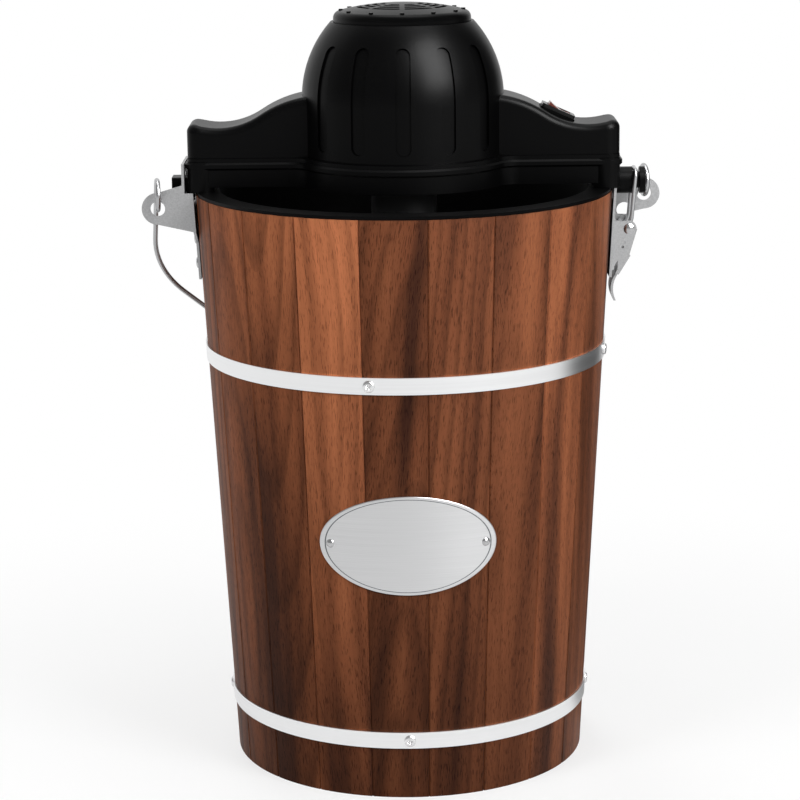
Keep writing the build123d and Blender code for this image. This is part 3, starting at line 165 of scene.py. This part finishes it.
def blendColours(tree, mode, factor, first, second):
    node = tree.nodes.new("ShaderNodeMix")
    node.data_type = "RGBA"
    node.blend_type = mode
    joinTo(tree, node.inputs["Factor"], factor)
    joinTo(tree, node.inputs["A"], first)
    joinTo(tree, node.inputs["B"], second)
    return node.outputs["Result"]


def bumpFrom(tree, shader, height, strength, depth):
    node = tree.nodes.new("ShaderNodeBump")
    node.inputs["Strength"].default_value = strength
    node.inputs["Distance"].default_value = depth
    tree.links.new(height, node.inputs["Height"])
    tree.links.new(node.outputs["Normal"], shader.inputs["Normal"])


def dress(material, names):
    for name in names:
        slots = nodes[name].material_slots
        if not slots:
            nodes[name].data.materials.append(material)
        for slot in slots:
            slot.material = material


# stained pine staves: each board is cut from its own place in a tree of cone-shaped growth rings
staveLook = {
    "count": 20,
    "firstSeam": 5.9,  # degrees from the front towards the right
    "dark": (0.078, 0.0268, 0.0138),
    "middle": (0.240, 0.079, 0.0345),
    "light": (0.430, 0.146, 0.063),
    "late": (0.036, 0.0120, 0.0064),
    "pore": (0.30, 0.27, 0.27),
    "tones": (0.66, 1.34),
    "paintedFootShade": 0.68, "paintedRimLight": 1.12,  # painted shade makes the wood darker towards the foot, and painted light makes it lighter towards the rim
    "lean": 0.07,  # how far the grain may lean to a side, as a share of the height
    "wander": 0.034,  # how far it wanders on the way, in metres
    "heart": 0.03,  # how far the heart of the tree may lie to a side of the board
    "ringTaper": (0.05, 0.13), "ringStart": (-0.012, 0.03), "ringLevel": (0.05, 0.3),
    "ringWidth": (0.007, 0.0125),
    "lateStops": ((0.0, 0.1), (0.12, 0.0), (0.5, 0.12), (0.86, 1.0), (1.0, 0.5)),
    "lateShare": (0.18, 0.52),
    "bandStops": (0.34, 0.48, 0.69),
    "poreStops": (0.36, 0.44),
    "poreShare": (1.6, 0.0),  # most pores are in the dark bands
    "streakTone": (0.74, 1.28),
    # noises: waves per metre across and along the grain, detail, roughness
    "wanderNoise": (9, 3.2, 1.5, 0.55),
    "bandNoise": (36, 1.3, 2.2, 0.55),
    "streakNoise": (420, 9, 4, 0.62),
    "poreNoise": (2300, 140, 1.5, 0.55),
    "noiseReach": 9,
    "shine": 0.06, "roughness": (0.58, 0.40),
    "poreRelief": 0.6, "streakRelief": 0.5, "bump": 0.25, "depth": 0.0006,
    "seed": 3845,
}


def staveWood(index, boardTone, chance):
    look = staveLook
    shine = {"Specular IOR Level": look["shine"]}
    material, tree, shader = startMaterial(f"stainedStave{index + 1:02d}", shine)
    facing = math.radians(look["firstSeam"] + (index + 0.5) * 360 / look["count"])

    def boardNoise(vector, across, along, detail, roughness):
        # noise in this board's own place, stretched along the grain
        place = tuple(chance.uniform(-look["noiseReach"], look["noiseReach"], 3))
        stretched = placed(tree, (across, across, along), shift=place, vector=vector)
        return noiseField(tree, stretched, detail, roughness)

    # the grain leans and wanders to the sides on its way up the board
    board = placed(tree, turn=(0, 0, -facing))
    axes = splitAxes(tree, board)
    heart = chance.uniform(-look["heart"], look["heart"])
    lean = chance.uniform(-look["lean"], look["lean"])
    side = plus(tree, minus(tree, axes["X"], heart), times(tree, axes["Z"], lean))
    side = plus(tree, side, times(tree, boardNoise(board, *look["wanderNoise"]), look["wander"]))
    flow = tree.nodes.new("ShaderNodeCombineXYZ")
    tree.links.new(side, flow.inputs["X"])
    tree.links.new(axes["Y"], flow.inputs["Y"])
    tree.links.new(axes["Z"], flow.inputs["Z"])
    grain = flow.outputs["Vector"]

    # rings by the distance from the heart of the tree, which leans through the board
    taper = chance.choice([-1, 1]) * chance.uniform(*look["ringTaper"])
    start = chance.uniform(*look["ringStart"]) - taper * chance.uniform(*look["ringLevel"])
    inward = plus(tree, times(tree, axes["Z"], taper), start)
    ringCount = mathStep(tree, "DIVIDE", distance(tree, side, inward), chance.uniform(*look["ringWidth"]))
    ring = mathStep(tree, "FRACT", ringCount)
    lateWood = ramp(tree, ring, [(place, (grey,) * 3) for place, grey in look["lateStops"]])

    # broad bands of stain, then the dark late wood, then fine streaks, painted shade towards the foot with
    # painted light towards the rim, and the pores
    bands = boardNoise(grain, *look["bandNoise"])
    wood = ramp(tree, bands, list(zip(look["bandStops"], (look["dark"], look["middle"], look["light"]))))
    lateShare = times(tree, lateWood, chance.uniform(*look["lateShare"]))
    wood = blendColours(tree, "MIX", lateShare, wood, (*look["late"], 1))
    streaks = boardNoise(grain, *look["streakNoise"])
    streakTone = spread(tree, streaks, *shaded(boardTone, look["streakTone"]))
    wood = blendColours(tree, "MULTIPLY", 1.0, wood, streakTone)
    # painted shade and light: the wood is darkened towards the foot and lightened towards the rim by height
    rise = mathStep(tree, "DIVIDE", axes["Z"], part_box("stave_01")[1][2])
    wood = blendColours(tree, "MULTIPLY", 1.0, wood, spread(tree, rise, look["paintedFootShade"], look["paintedRimLight"]))
    pores = boardNoise(grain, *look["poreNoise"])
    poreMask = ramp(tree, pores, list(zip(look["poreStops"], (look["pore"], (1, 1, 1)))))
    wood = blendColours(tree, "MULTIPLY", spread(tree, bands, *look["poreShare"]), wood, poreMask)
    tree.links.new(wood, shader.inputs["Base Color"])
    tree.links.new(spread(tree, streaks, *look["roughness"]), shader.inputs["Roughness"])
    relief = plus(tree, times(tree, pores, look["poreRelief"]), times(tree, streaks, look["streakRelief"]))
    bumpFrom(tree, shader, relief, look["bump"], look["depth"])
    return material


chance = np.random.default_rng(staveLook["seed"])
boardTones = chance.uniform(*staveLook["tones"], staveLook["count"])
for index, boardTone in enumerate(boardTones):
    dress(staveWood(index, boardTone, chance), [f"stave_{index + 1:02d}"])
print("staves dressed")

# plain woods: floor, grip and scraper blades, with the waves per metre of their grain along X, Y and Z
gripAxis = next(joint["axis"] for joint in frame["joints"] if joint["name"] == "bail_swing")
gripTurn = -math.atan2(gripAxis[1], gripAxis[0])
woodLooks = {
    "floorBoards": {
        "light": (0.30, 0.17, 0.085), "dark": (0.17, 0.085, 0.04), "grain": (140, 9, 140),
        "turn": 0, "coat": 0.0, "nodes": ["bucket_floor"],
    },
    "turnedGrip": {
        "light": (0.17, 0.058, 0.024), "dark": (0.06, 0.02, 0.01), "grain": (9, 190, 190),
        "turn": gripTurn, "coat": 0.5, "nodes": ["handle_grip"],
    },
    "bareBeech": {
        "light": (0.56, 0.38, 0.21), "dark": (0.40, 0.25, 0.13), "grain": (230, 230, 9),
        "turn": 0, "coat": 0.0, "nodes": ["dasher_blades"],
    },
}
grainLook = {
    "coatRoughness": 0.2, "detail": 5, "roughness": 0.6, "stops": (0.3, 0.7),
    "gloss": (0.6, 0.42), "bump": 0.25, "depth": 0.0004,
}


def plainWood(name, look):
    # streaks stretched along the grain, between a dark and a light tone
    coat = {"Coat Weight": look["coat"], "Coat Roughness": grainLook["coatRoughness"]}
    material, tree, shader = startMaterial(name, coat)
    grain = placed(tree, look["grain"], (0, 0, look["turn"]))
    streaks = noiseField(tree, grain, grainLook["detail"], grainLook["roughness"])
    tone = ramp(tree, streaks, list(zip(grainLook["stops"], (look["dark"], look["light"]))))
    tree.links.new(tone, shader.inputs["Base Color"])
    tree.links.new(spread(tree, streaks, *grainLook["gloss"]), shader.inputs["Roughness"])
    bumpFrom(tree, shader, streaks, grainLook["bump"], grainLook["depth"])
    return material


for name, look in woodLooks.items():
    dress(plainWood(name, look), look["nodes"])
print("plain woods dressed")

# metals: brush is the waves per metre of the brushing along X, Y and Z
metalLooks = {
    "hoopSteel": {
        "colour": (0.84, 0.845, 0.85), "roughness": 0.30, "brush": (6, 6, 500), "bump": 0.03,
        "contrast": 0.06, "nodes": ["upper_hoop", "lower_hoop"],
    },
    "bracketZinc": {
        "colour": (0.46, 0.462, 0.467), "roughness": 0.40, "brush": (1100, 1100, 1100), "bump": 0.06,
        "contrast": 0.26, "nodes": ["left_bracket", "right_bracket", "latch_base", "latch_lever"],
    },
    "brightWire": {
        "colour": (0.47, 0.472, 0.478), "roughness": 0.30, "brush": (60, 60, 60), "bump": 0.04,
        "nodes": ["bail_wire", "latch_loop"],
    },
    "screwSteel": {
        "colour": (0.52, 0.52, 0.525), "roughness": 0.22, "brush": (120, 120, 120), "bump": 0.03,
        "nodes": ["badge_pins", "housing_screws", "latch_rivets"],
    },
    "screwBright": {
        "colour": (0.82, 0.822, 0.826), "roughness": 0.27, "brush": (120, 120, 120), "bump": 0.03,
        "nodes": [],
    },
    "turnedSteel": {
        "colour": (0.60, 0.60, 0.61), "roughness": 0.3, "brush": (10, 10, 900),
        "nodes": ["motor_pinion", "idler_gear", "idler_pin", "canister_pivot"],
    },
    "zincPlate": {
        "colour": (0.56, 0.57, 0.58), "roughness": 0.42, "brush": (160, 160, 160),
        "nodes": ["gear_plate", "lower_motor_bracket", "upper_motor_bracket"],
    },
    "laminations": {
        "colour": (0.20, 0.20, 0.215), "roughness": 0.5, "brush": (4, 4, 1400), "bump": 0.5,
        "nodes": ["motor_stator", "rotor"],
    },
    "satinCan": {
        "colour": (0.80, 0.80, 0.805), "roughness": 0.30, "brush": (5, 5, 500), "nodes": ["canister"],
    },
    "enamelledCopper": {
        "colour": (0.62, 0.24, 0.10), "roughness": 0.3, "brush": (900, 20, 20), "bump": 0.5,
        "nodes": ["motor_coils"],
    },
}
brushing = {
    "contrast": 0.18, "bump": 0.08,  # where a look gives none
    "detail": 4, "roughness": 0.6, "stops": (0.25, 0.7), "depth": 0.0003,
    "patches": (35, 35, 35), "patchDetail": 2, "lineShare": 0.6, "patchShare": 0.4, "gloss": (0.7, 1.3),
}


def brushedMetal(name, look):
    # fine lines stretched along the brushing direction, over broad duller patches
    material, tree, shader = startMaterial(name, {"Metallic": 1.0})
    lines = noiseField(tree, placed(tree, look["brush"]), brushing["detail"], brushing["roughness"])
    patches = noiseField(tree, placed(tree, brushing["patches"]), brushing["patchDetail"])
    dull = shaded(1 - look.get("contrast", brushing["contrast"]), look["colour"])
    tone = ramp(tree, lines, list(zip(brushing["stops"], (dull, look["colour"]))))
    tree.links.new(tone, shader.inputs["Base Color"])
    lineShare = times(tree, lines, brushing["lineShare"])
    mixed = plus(tree, lineShare, times(tree, patches, brushing["patchShare"]))
    gloss = spread(tree, mixed, *shaded(look["roughness"], brushing["gloss"]))
    tree.links.new(gloss, shader.inputs["Roughness"])
    bumpFrom(tree, shader, lines, look.get("bump", brushing["bump"]), brushing["depth"])
    return material


metals = {}
for name, look in metalLooks.items():
    metals[name] = brushedMetal(name, look)
    dress(metals[name], look["nodes"])
print("metals dressed")

# moulded plastics: grain is the waves per metre of their fine surface
plasticLooks = {
    "headBlack": {
        "colour": (0.0010, 0.0010, 0.0011), "roughness": 0.34, "grain": 2600, "bump": 0.08, "shine": 0.07,
        "nodes": ["upper_housing", "lower_housing"],
    },
    "capBlack": {
        "colour": (0.0014, 0.0014, 0.0015), "roughness": 0.34, "grain": 2600, "bump": 0.08, "shine": 0.08,
        "nodes": ["vent_cap"],
    },
    "linerBlack": {
        "colour": (0.0018, 0.0018, 0.0019), "roughness": 0.42, "grain": 1500, "bump": 0.1, "shine": 0.06,
        "nodes": ["bucket_liner"],
    },
    "glossBlack": {
        "colour": (0.007, 0.007, 0.007), "roughness": 0.25, "grain": 1500, "bump": 0.03, "shine": 0.2,
        "nodes": ["switch_bezel", "cord_gland"],
    },
    "rockerRed": {
        "colour": (0.15, 0.028, 0.016), "roughness": 0.28, "grain": 1500, "bump": 0.03, "shine": 0.3,
        "coat": 0.2, "nodes": ["switch_rocker"],
    },
    "darkNylon": {
        "colour": (0.010, 0.010, 0.0105), "roughness": 0.45, "grain": 1200, "bump": 0.05, "shine": 0.2,
        "nodes": ["output_gear"],
    },
    "lidWhite": {
        "colour": (0.70, 0.70, 0.68), "roughness": 0.28, "grain": 1200, "bump": 0.03, "coat": 0.2,
        "nodes": ["canister_lid"],
    },
    "dasherWhite": {
        "colour": (0.74, 0.74, 0.71), "roughness": 0.4, "grain": 1200, "bump": 0.04, "nodes": ["dasher"],
    },
    "fanGrey": {
        "colour": (0.05, 0.05, 0.052), "roughness": 0.45, "grain": 1200, "bump": 0.05,
        "nodes": ["cooling_fan"],
    },
}
moulding = {
    "shine": 0.5, "coat": 0.0, "coatRoughness": 0.12,  # where a look gives none
    "fineDetail": 2, "broad": (22, 22, 22), "broadDetail": 3,
    "stops": (0.3, 0.7), "darker": 0.85, "lighter": 1.12, "fineShare": 0.5, "broadShare": 0.5,
    "gloss": (0.8, 1.2), "depth": 0.0002,
}


def mouldedPlastic(name, look):
    # a fine grain in the gloss and the surface, over broad changes of tone
    material, tree, shader = startMaterial(name, {
        "Specular IOR Level": look.get("shine", moulding["shine"]),
        "Coat Weight": look.get("coat", moulding["coat"]),
        "Coat Roughness": moulding["coatRoughness"],
    })
    fine = noiseField(tree, placed(tree, (look["grain"],) * 3), moulding["fineDetail"])
    broad = noiseField(tree, placed(tree, moulding["broad"]), moulding["broadDetail"])
    tones = (shaded(moulding["darker"], look["colour"]), shaded(moulding["lighter"], look["colour"]))
    tree.links.new(ramp(tree, broad, list(zip(moulding["stops"], tones))), shader.inputs["Base Color"])
    fineShare = times(tree, fine, moulding["fineShare"])
    mixed = plus(tree, fineShare, times(tree, broad, moulding["broadShare"]))
    gloss = spread(tree, mixed, *shaded(look["roughness"], moulding["gloss"]))
    tree.links.new(gloss, shader.inputs["Roughness"])
    bumpFrom(tree, shader, fine, look["bump"], moulding["depth"])
    return material


for name, look in plasticLooks.items():
    dress(mouldedPlastic(name, look), look["nodes"])
print("plastics dressed")

# the tapered wall that carries the screws and the plate, in metres
bucketWall = {"baseRadius": 0.108, "slope": 18 / 350}


def wallRadius(height):
    return bucketWall["baseRadius"] + bucketWall["slope"] * height


def gridFaces(rows, columns, start):
    # quads between neighbouring rows of a grid whose rows close on themselves
    row, column = np.meshgrid(np.arange(rows - 1), np.arange(columns), indexing="ij")
    after = (column + 1) % columns
    low, high = row * columns, (row + 1) * columns
    return start + np.stack([low + column, high + column, high + after, low + after], axis=-1).reshape(-1, 4)


poleRadius = 1e-6  # of the first and last ring of a closed grid
poleMerge = 5e-6


def meshPiece(name, points, faces, material, body):
    mesh = bpy.data.meshes.new(name)
    mesh.from_pydata(points.tolist(), [], faces.tolist())
    shell = bmesh.new()  # the small rings at the poles become single points
    shell.from_mesh(mesh)
    bmesh.ops.remove_doubles(shell, verts=shell.verts, dist=poleMerge)
    shell.to_mesh(mesh)
    shell.free()
    mesh.polygons.foreach_set("use_smooth", np.ones(len(mesh.polygons), dtype=bool))
    mesh.materials.append(material)
    mesh.update()
    piece = bpy.data.objects.new(name, mesh)
    bpy.context.collection.objects.link(piece)
    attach(piece, body)
    return piece


# wood screws: a pan head with a cross recess, and the shank, on one polar grid each
screwShape = {
    "headRadius": 0.0035, "headHeight": 0.0017, "headPower": 3.2, "shankRadius": 0.0016, "length": 0.009,
    "armLength": 0.0016, "armHalfWidth": 0.00036, "recess": 0.0010, "soft": 0.00012,
    "segments": 64, "rings": 26, "firstAngle": 0.0003,
    "firstTurn": 0.6, "nextTurn": 1.1,  # radians, each screw ends at its own turn
    "hoopStandOff": 0.00105, "hoopSeats": {0.2539: -10.2, 0.0367: 0.0},  # height and first angle
    "bracketHeights": (0.306, 0.321), "leftStandOff": 0.0017, "rightStandOff": 0.0032,
}


def screwGrid():
    # points of one screw whose head stands on the XY plane, from the head's middle to the shank's end
    shape = screwShape
    turns = np.linspace(0, 2 * np.pi, shape["segments"], endpoint=False)
    shares = np.sin(np.linspace(shape["firstAngle"], np.pi / 2, shape["rings"]))  # closer towards the rim
    share, turn = np.meshgrid(shares, turns, indexing="ij")
    reach = shape["headRadius"] * share
    across, along = reach * np.cos(turn), reach * np.sin(turn)
    height = shape["headHeight"] * (1 - share ** shape["headPower"]) ** (1 / shape["headPower"])
    inArm = []
    for width, length in ((across, along), (along, across)):
        outside = np.maximum(np.abs(width) - shape["armHalfWidth"], np.abs(length) - shape["armLength"])
        inArm.append(np.clip(0.5 - outside / shape["soft"], 0, 1))
    height -= shape["recess"] * np.maximum(*inArm)
    head = np.stack([across, along, height], axis=-1)
    shankRadii = np.array([shape["shankRadius"], shape["shankRadius"], poleRadius])
    shankLevels = np.array([0, -shape["length"], -shape["length"]])
    reach, turn = np.meshgrid(shankRadii, turns, indexing="ij")
    level = np.broadcast_to(shankLevels[:, None], reach.shape)
    shank = np.stack([reach * np.cos(turn), reach * np.sin(turn), level], axis=-1)
    return np.concatenate([head, shank])


def wallSeat(angle, height, standOff):
    # middle and axes of a seat on the tapered wall, the last axis pointing outwards
    swing = math.radians(angle)
    lean = math.atan(bucketWall["slope"])
    flat = math.cos(lean)
    outward = np.array([math.sin(swing) * flat, -math.cos(swing) * flat, -math.sin(lean)])
    sideways = np.array([math.cos(swing), math.sin(swing), 0])
    radius = wallRadius(height)
    middle = np.array([radius * math.sin(swing), -radius * math.cos(swing), height]) + outward * standOff
    return middle, np.stack([sideways, np.cross(outward, sideways), outward])


def driveScrews(name, seats, node, steel):
    # one screw per seat, each turned by its own amount
    grid = screwGrid()
    rows, columns = grid.shape[:2]
    points, faces = [], []
    for index, seat in enumerate(seats):
        middle, axes = wallSeat(*seat)
        spin = screwShape["firstTurn"] + screwShape["nextTurn"] * index
        turned = grid.reshape(-1, 3) @ np.array(
            [[math.cos(spin), math.sin(spin), 0], [-math.sin(spin), math.cos(spin), 0], [0, 0, 1]]
        )
        points.append(middle + turned @ axes)
        faces.append(gridFaces(rows, columns, index * rows * columns))
    piece = meshPiece(name, np.concatenate(points), np.concatenate(faces), steel, "bucket")
    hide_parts(node)


hoopSeats = [
    (first + 90 * quarter, height, screwShape["hoopStandOff"])
    for height, first in screwShape["hoopSeats"].items() for quarter in range(4)
]
bracketSeats = [
    (angle, height, screwShape[standOff])
    for angle, standOff in ((-90, "leftStandOff"), (90, "rightStandOff"))
    for height in screwShape["bracketHeights"]
]
driveScrews("hoopScrews", hoopSeats, "hoop_screws", metals["screwBright"])
driveScrews("bracketScrews", bracketSeats, "bracket_screws", metals["screwSteel"])
print("screws driven")

# oval plate: a sheet bent round the tapered wall, brushed across, with one thin line inside its edge
plateShape = {
    "halfWidth": 0.0516, "halfTall": 0.0302, "height": 0.158,
    "back": 0.0001, "front": 0.0011, "edge": 0.0005,  # distances from the wall, and the edge's radius
    "segments": 192, "rings": 24, "edgeRings": 6, "firstShare": 2e-5,
}
plateLook = {
    "steel": (0.64, 0.642, 0.648), "dull": 0.86, "line": (0.11, 0.12, 0.13),
    "lineInner": 0.930, "lineOuter": 0.943,  # shares of the plate's half sizes
    "brush": (9, 9, 2600), "detail": 4, "roughness": 0.7, "stops": (0.25, 0.7),
    "gloss": (0.24, 0.38), "stretch": 0.5, "bump": 0.06, "depth": 0.0003,
    "uvMap": "upAndAcross",
}


def ovalSteel():
    # the line lies where the ellipse equation gives a value between two shares of the half sizes
    look = plateLook
    low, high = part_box("badge_plate")
    middle = [(a + b) / 2 for a, b in zip(low, high)]
    half = [(b - a) / 2 for a, b in zip(low, high)]
    material, tree, shader = startMaterial("ovalPlate", {"Anisotropic": look["stretch"]})
    tangent = tree.nodes.new("ShaderNodeTangent")
    tangent.direction_type = "UV_MAP"
    tangent.uv_map = look["uvMap"]
    tree.links.new(tangent.outputs["Tangent"], shader.inputs["Tangent"])
    lines = noiseField(tree, placed(tree, look["brush"]), look["detail"], look["roughness"])
    tones = (shaded(look["dull"], look["steel"]), look["steel"])
    steel = ramp(tree, lines, list(zip(look["stops"], tones)))
    axes = splitAxes(tree, placed(tree))
    across = mathStep(tree, "DIVIDE", minus(tree, axes["X"], middle[0]), half[0])
    upward = mathStep(tree, "DIVIDE", minus(tree, axes["Z"], middle[2]), half[2])
    share = distance(tree, across, upward)
    inside = mathStep(tree, "GREATER_THAN", share, look["lineInner"])
    line = times(tree, inside, mathStep(tree, "LESS_THAN", share, look["lineOuter"]))
    tone = blendColours(tree, "MIX", line, steel, (*look["line"], 1))
    tree.links.new(tone, shader.inputs["Base Color"])
    tree.links.new(minus(tree, 1.0, line), shader.inputs["Metallic"])
    tree.links.new(spread(tree, lines, *look["gloss"]), shader.inputs["Roughness"])
    bumpFrom(tree, shader, lines, look["bump"], look["depth"])
    return material


def bendPlate():
    # rings of an ellipse, each with its share of the half sizes and its distance from the wall
    shape = plateShape
    swing = np.linspace(0, np.pi / 2, shape["edgeRings"])
    rim = 1 - shape["edge"] * (1 - np.sin(swing)) / shape["halfTall"]
    drop = shape["front"] - shape["edge"] * (1 - np.cos(swing))
    flat = np.linspace(shape["firstShare"], rim[0], shape["rings"], endpoint=False)
    shares = np.concatenate([flat, rim, flat[::-1]])
    offsets = np.concatenate([np.full_like(flat, shape["front"]), drop, np.full_like(flat, shape["back"])])
    turns = np.linspace(0, 2 * np.pi, shape["segments"], endpoint=False)
    share, turn = np.meshgrid(shares, turns, indexing="ij")
    across = shape["halfWidth"] * share * np.cos(turn)
    height = shape["height"] + shape["halfTall"] * share * np.sin(turn)
    radius = wallRadius(height) + offsets[:, None]
    points = np.stack([across, -np.sqrt(radius**2 - across**2), height], axis=-1).reshape(-1, 3)
    plate = meshPiece("ovalPlate", points, gridFaces(*share.shape, 0), ovalSteel(), "bucket")
    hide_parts("badge_plate")

    # the map runs upwards and across, so that highlights stretch upwards
    mesh = plate.data
    corners = np.empty(len(mesh.loops), dtype=np.int32)
    mesh.loops.foreach_get("vertex_index", corners)
    spots = np.empty(3 * len(mesh.vertices))
    mesh.vertices.foreach_get("co", spots)
    spots = spots.reshape(-1, 3)[corners]
    unfolded = np.stack([spots[:, 2] - shape["height"], spots[:, 0]], axis=-1)
    unfolded = 0.5 + unfolded / (2 * shape["halfWidth"])
    mesh.uv_layers.new(name=plateLook["uvMap"]).data.foreach_set("uv", unfolded.ravel())


bendPlate()
print("oval plate bent")

# studio: a floor that fades to white, white surroundings, soft lamps
studio = {
    "floorHalf": 6.0,
    "floorColour": (0.90, 0.90, 0.90, 1),
    "floorRoughness": 0.8, "floorShine": 0.1,
    "bounceColour": (0.22, 0.22, 0.22, 1),  # what the floor throws back on the object
    "nearWhite": 0.66,
    "fade": (0.16, 0.60),
    "worldFill": 0.24,
    "worldMirror": {"front": 0.16, "back": 1.0, "turn": (-0.1, 0.45)},
    "flag": {"across": (0.46, 0.62), "behind": (0.02, 0.30), "depth": 0.93},
    "lamps": {
        "keySoftbox": {
            "place": (0.66, -0.70, 0.72), "aim": (0, 0, 0.36), "size": (0.4, 0.5), "power": 7.4,
            "mirrored": False,
        },
        "leftFill": {
            "place": (-0.58, -0.56, 0.74), "aim": (0, 0, 0.38), "size": (0.3, 0.4), "power": 3.9,
            "mirrored": False,
        },
        "sheenBox": {
            "place": (1.14, -1.24, 1.60), "aim": (0, 0, 0.42), "size": (1.1, 1.7), "power": 128,
            "lights": False, "spares": ["vent_cap", "bucket_liner"],
        },
        "rearFill": {
            "place": (-0.35, 0.95, 0.85), "aim": (0, 0, 0.30), "size": (0.5, 0.6), "power": 4.5,
            "mirrored": False,
        },
        "overhead": {"place": (0.1, 0.15, 1.9), "aim": (0, 0, 0.3), "size": (1.2, 0.9), "power": 10},
    },
}


def flagShade(tree, direction):
    # brightness that a reflection finds in a direction: a dark flag stands behind and to the right
    flag = studio["flag"]
    unit = tree.nodes.new("ShaderNodeVectorMath")
    unit.operation = "NORMALIZE"
    tree.links.new(direction, unit.inputs[0])
    axes = splitAxes(tree, unit.outputs["Vector"])
    across = softEdge(tree, axes["X"], flag["across"])
    behind = softEdge(tree, axes["Y"], flag["behind"])
    return spread(tree, times(tree, across, behind), 1.0, 1.0 - flag["depth"])


def backdropShade(tree, direction):
    # the room in front is dim, and a white backdrop stands behind
    mirror = studio["worldMirror"]
    axes = splitAxes(tree, direction)
    return softEdge(tree, axes["Y"], mirror["turn"], mirror["front"], mirror["back"])


def buildFloor():
    # near the object the floor takes its shadow, and for the eye it turns to plain white further out
    reach = studio["floorHalf"]
    corners = [(-reach, -reach, 0), (reach, -reach, 0), (reach, reach, 0), (-reach, reach, 0)]
    mesh = bpy.data.meshes.new("studioFloor")
    mesh.from_pydata(corners, [], [(0, 1, 2, 3)])
    floor = bpy.data.objects.new("studioFloor", mesh)
    bpy.context.collection.objects.link(floor)
    look = {"Roughness": studio["floorRoughness"], "Specular IOR Level": studio["floorShine"]}
    material, tree, shader = startMaterial("paleFloor", look)
    path = tree.nodes.new("ShaderNodeLightPath").outputs
    tone = blendColours(tree, "MIX", path["Is Diffuse Ray"], studio["floorColour"], studio["bounceColour"])
    tree.links.new(tone, shader.inputs["Base Color"])
    away = tree.nodes.new("ShaderNodeVectorMath")
    away.operation = "LENGTH"
    tree.links.new(placed(tree), away.inputs[0])
    fade = softEdge(tree, away.outputs["Value"], studio["fade"], studio["nearWhite"])
    white = tree.nodes.new("ShaderNodeEmission")
    shade = mathStep(tree, "MAXIMUM", path["Is Camera Ray"], flagShade(tree, placed(tree)))
    tree.links.new(shade, white.inputs["Strength"])
    mix = tree.nodes.new("ShaderNodeMixShader")
    seen = mathStep(tree, "MAXIMUM", path["Is Camera Ray"], path["Is Glossy Ray"])
    tree.links.new(times(tree, seen, fade), mix.inputs["Fac"])
    tree.links.new(shader.outputs["BSDF"], mix.inputs[1])
    tree.links.new(white.outputs["Emission"], mix.inputs[2])
    output = next(node for node in tree.nodes if node.type == "OUTPUT_MATERIAL")
    tree.links.new(mix.outputs["Shader"], output.inputs["Surface"])
    mesh.materials.append(material)


def buildWorld():
    # white for the eye, backdrop and flag for reflections, and a low even light for everything else
    world = bpy.data.worlds.new("studioWorld")
    bpy.context.scene.world = world
    world.use_nodes = True
    tree = world.node_tree
    background = tree.nodes["Background"]
    background.inputs["Color"].default_value = (1, 1, 1, 1)
    path = tree.nodes.new("ShaderNodeLightPath").outputs
    direction = tree.nodes.new("ShaderNodeTexCoord").outputs["Generated"]
    seen = mathStep(tree, "MAXIMUM", path["Is Camera Ray"], path["Is Transmission Ray"])
    mirrored = times(tree, path["Is Glossy Ray"], backdropShade(tree, direction))
    seen = mathStep(tree, "MAXIMUM", seen, mirrored)
    shade = mathStep(tree, "MAXIMUM", path["Is Camera Ray"], flagShade(tree, direction))
    strength = times(tree, spread(tree, seen, studio["worldFill"], 1.0), shade)
    tree.links.new(strength, background.inputs["Strength"])


def hangLamp(name, lamp):
    data = bpy.data.lights.new(name, "AREA")
    data.shape = "RECTANGLE"
    data.size, data.size_y = lamp["size"]
    data.energy = lamp["power"]
    light = bpy.data.objects.new(name, data)
    light.location = lamp["place"]
    toward = np.array(lamp["aim"]) - np.array(lamp["place"])
    flat = math.hypot(toward[0], toward[1])
    light.rotation_euler = (math.atan2(flat, -toward[2]), 0, math.atan2(-toward[0], toward[1]))
    light.visible_camera = False
    light.visible_glossy = lamp.get("mirrored", True)
    light.visible_diffuse = lamp.get("lights", True)
    bpy.context.collection.objects.link(light)
    if "spares" in lamp:  # pieces that this lamp doesn't shine on
        spared = bpy.data.collections.new(name + "Spares")
        for piece in lamp["spares"]:
            spared.objects.link(nodes[piece])
        for entry in spared.collection_objects:
            entry.light_linking.link_state = "EXCLUDE"
        light.light_linking.receiver_collection = spared


buildFloor()
buildWorld()
for name, lamp in studio["lamps"].items():
    hangLamp(name, lamp)
print("studio lit")

# camera at the photograph's angle
cameraPlace = {
    "location": (-0.0038, -1.554, 0.5756), "pitch": 12.95, "roll": 0.65,  # metres and degrees
    "focalPixels": 2580, "framePixels": 800, "sensorWidth": 36,
}
cameraData = bpy.data.cameras.new("photoCamera")
cameraData.sensor_width = cameraPlace["sensorWidth"]
cameraData.lens = cameraPlace["focalPixels"] / cameraPlace["framePixels"] * cameraPlace["sensorWidth"]
camera = bpy.data.objects.new("photoCamera", cameraData)
camera.location = cameraPlace["location"]
camera.rotation_mode = "ZXY"
camera.rotation_euler = (math.radians(90 - cameraPlace["pitch"]), 0, -math.radians(cameraPlace["roll"]))
bpy.context.collection.objects.link(camera)
bpy.context.scene.camera = camera
bpy.context.scene.view_settings.view_transform = "Standard"
print("camera placed")
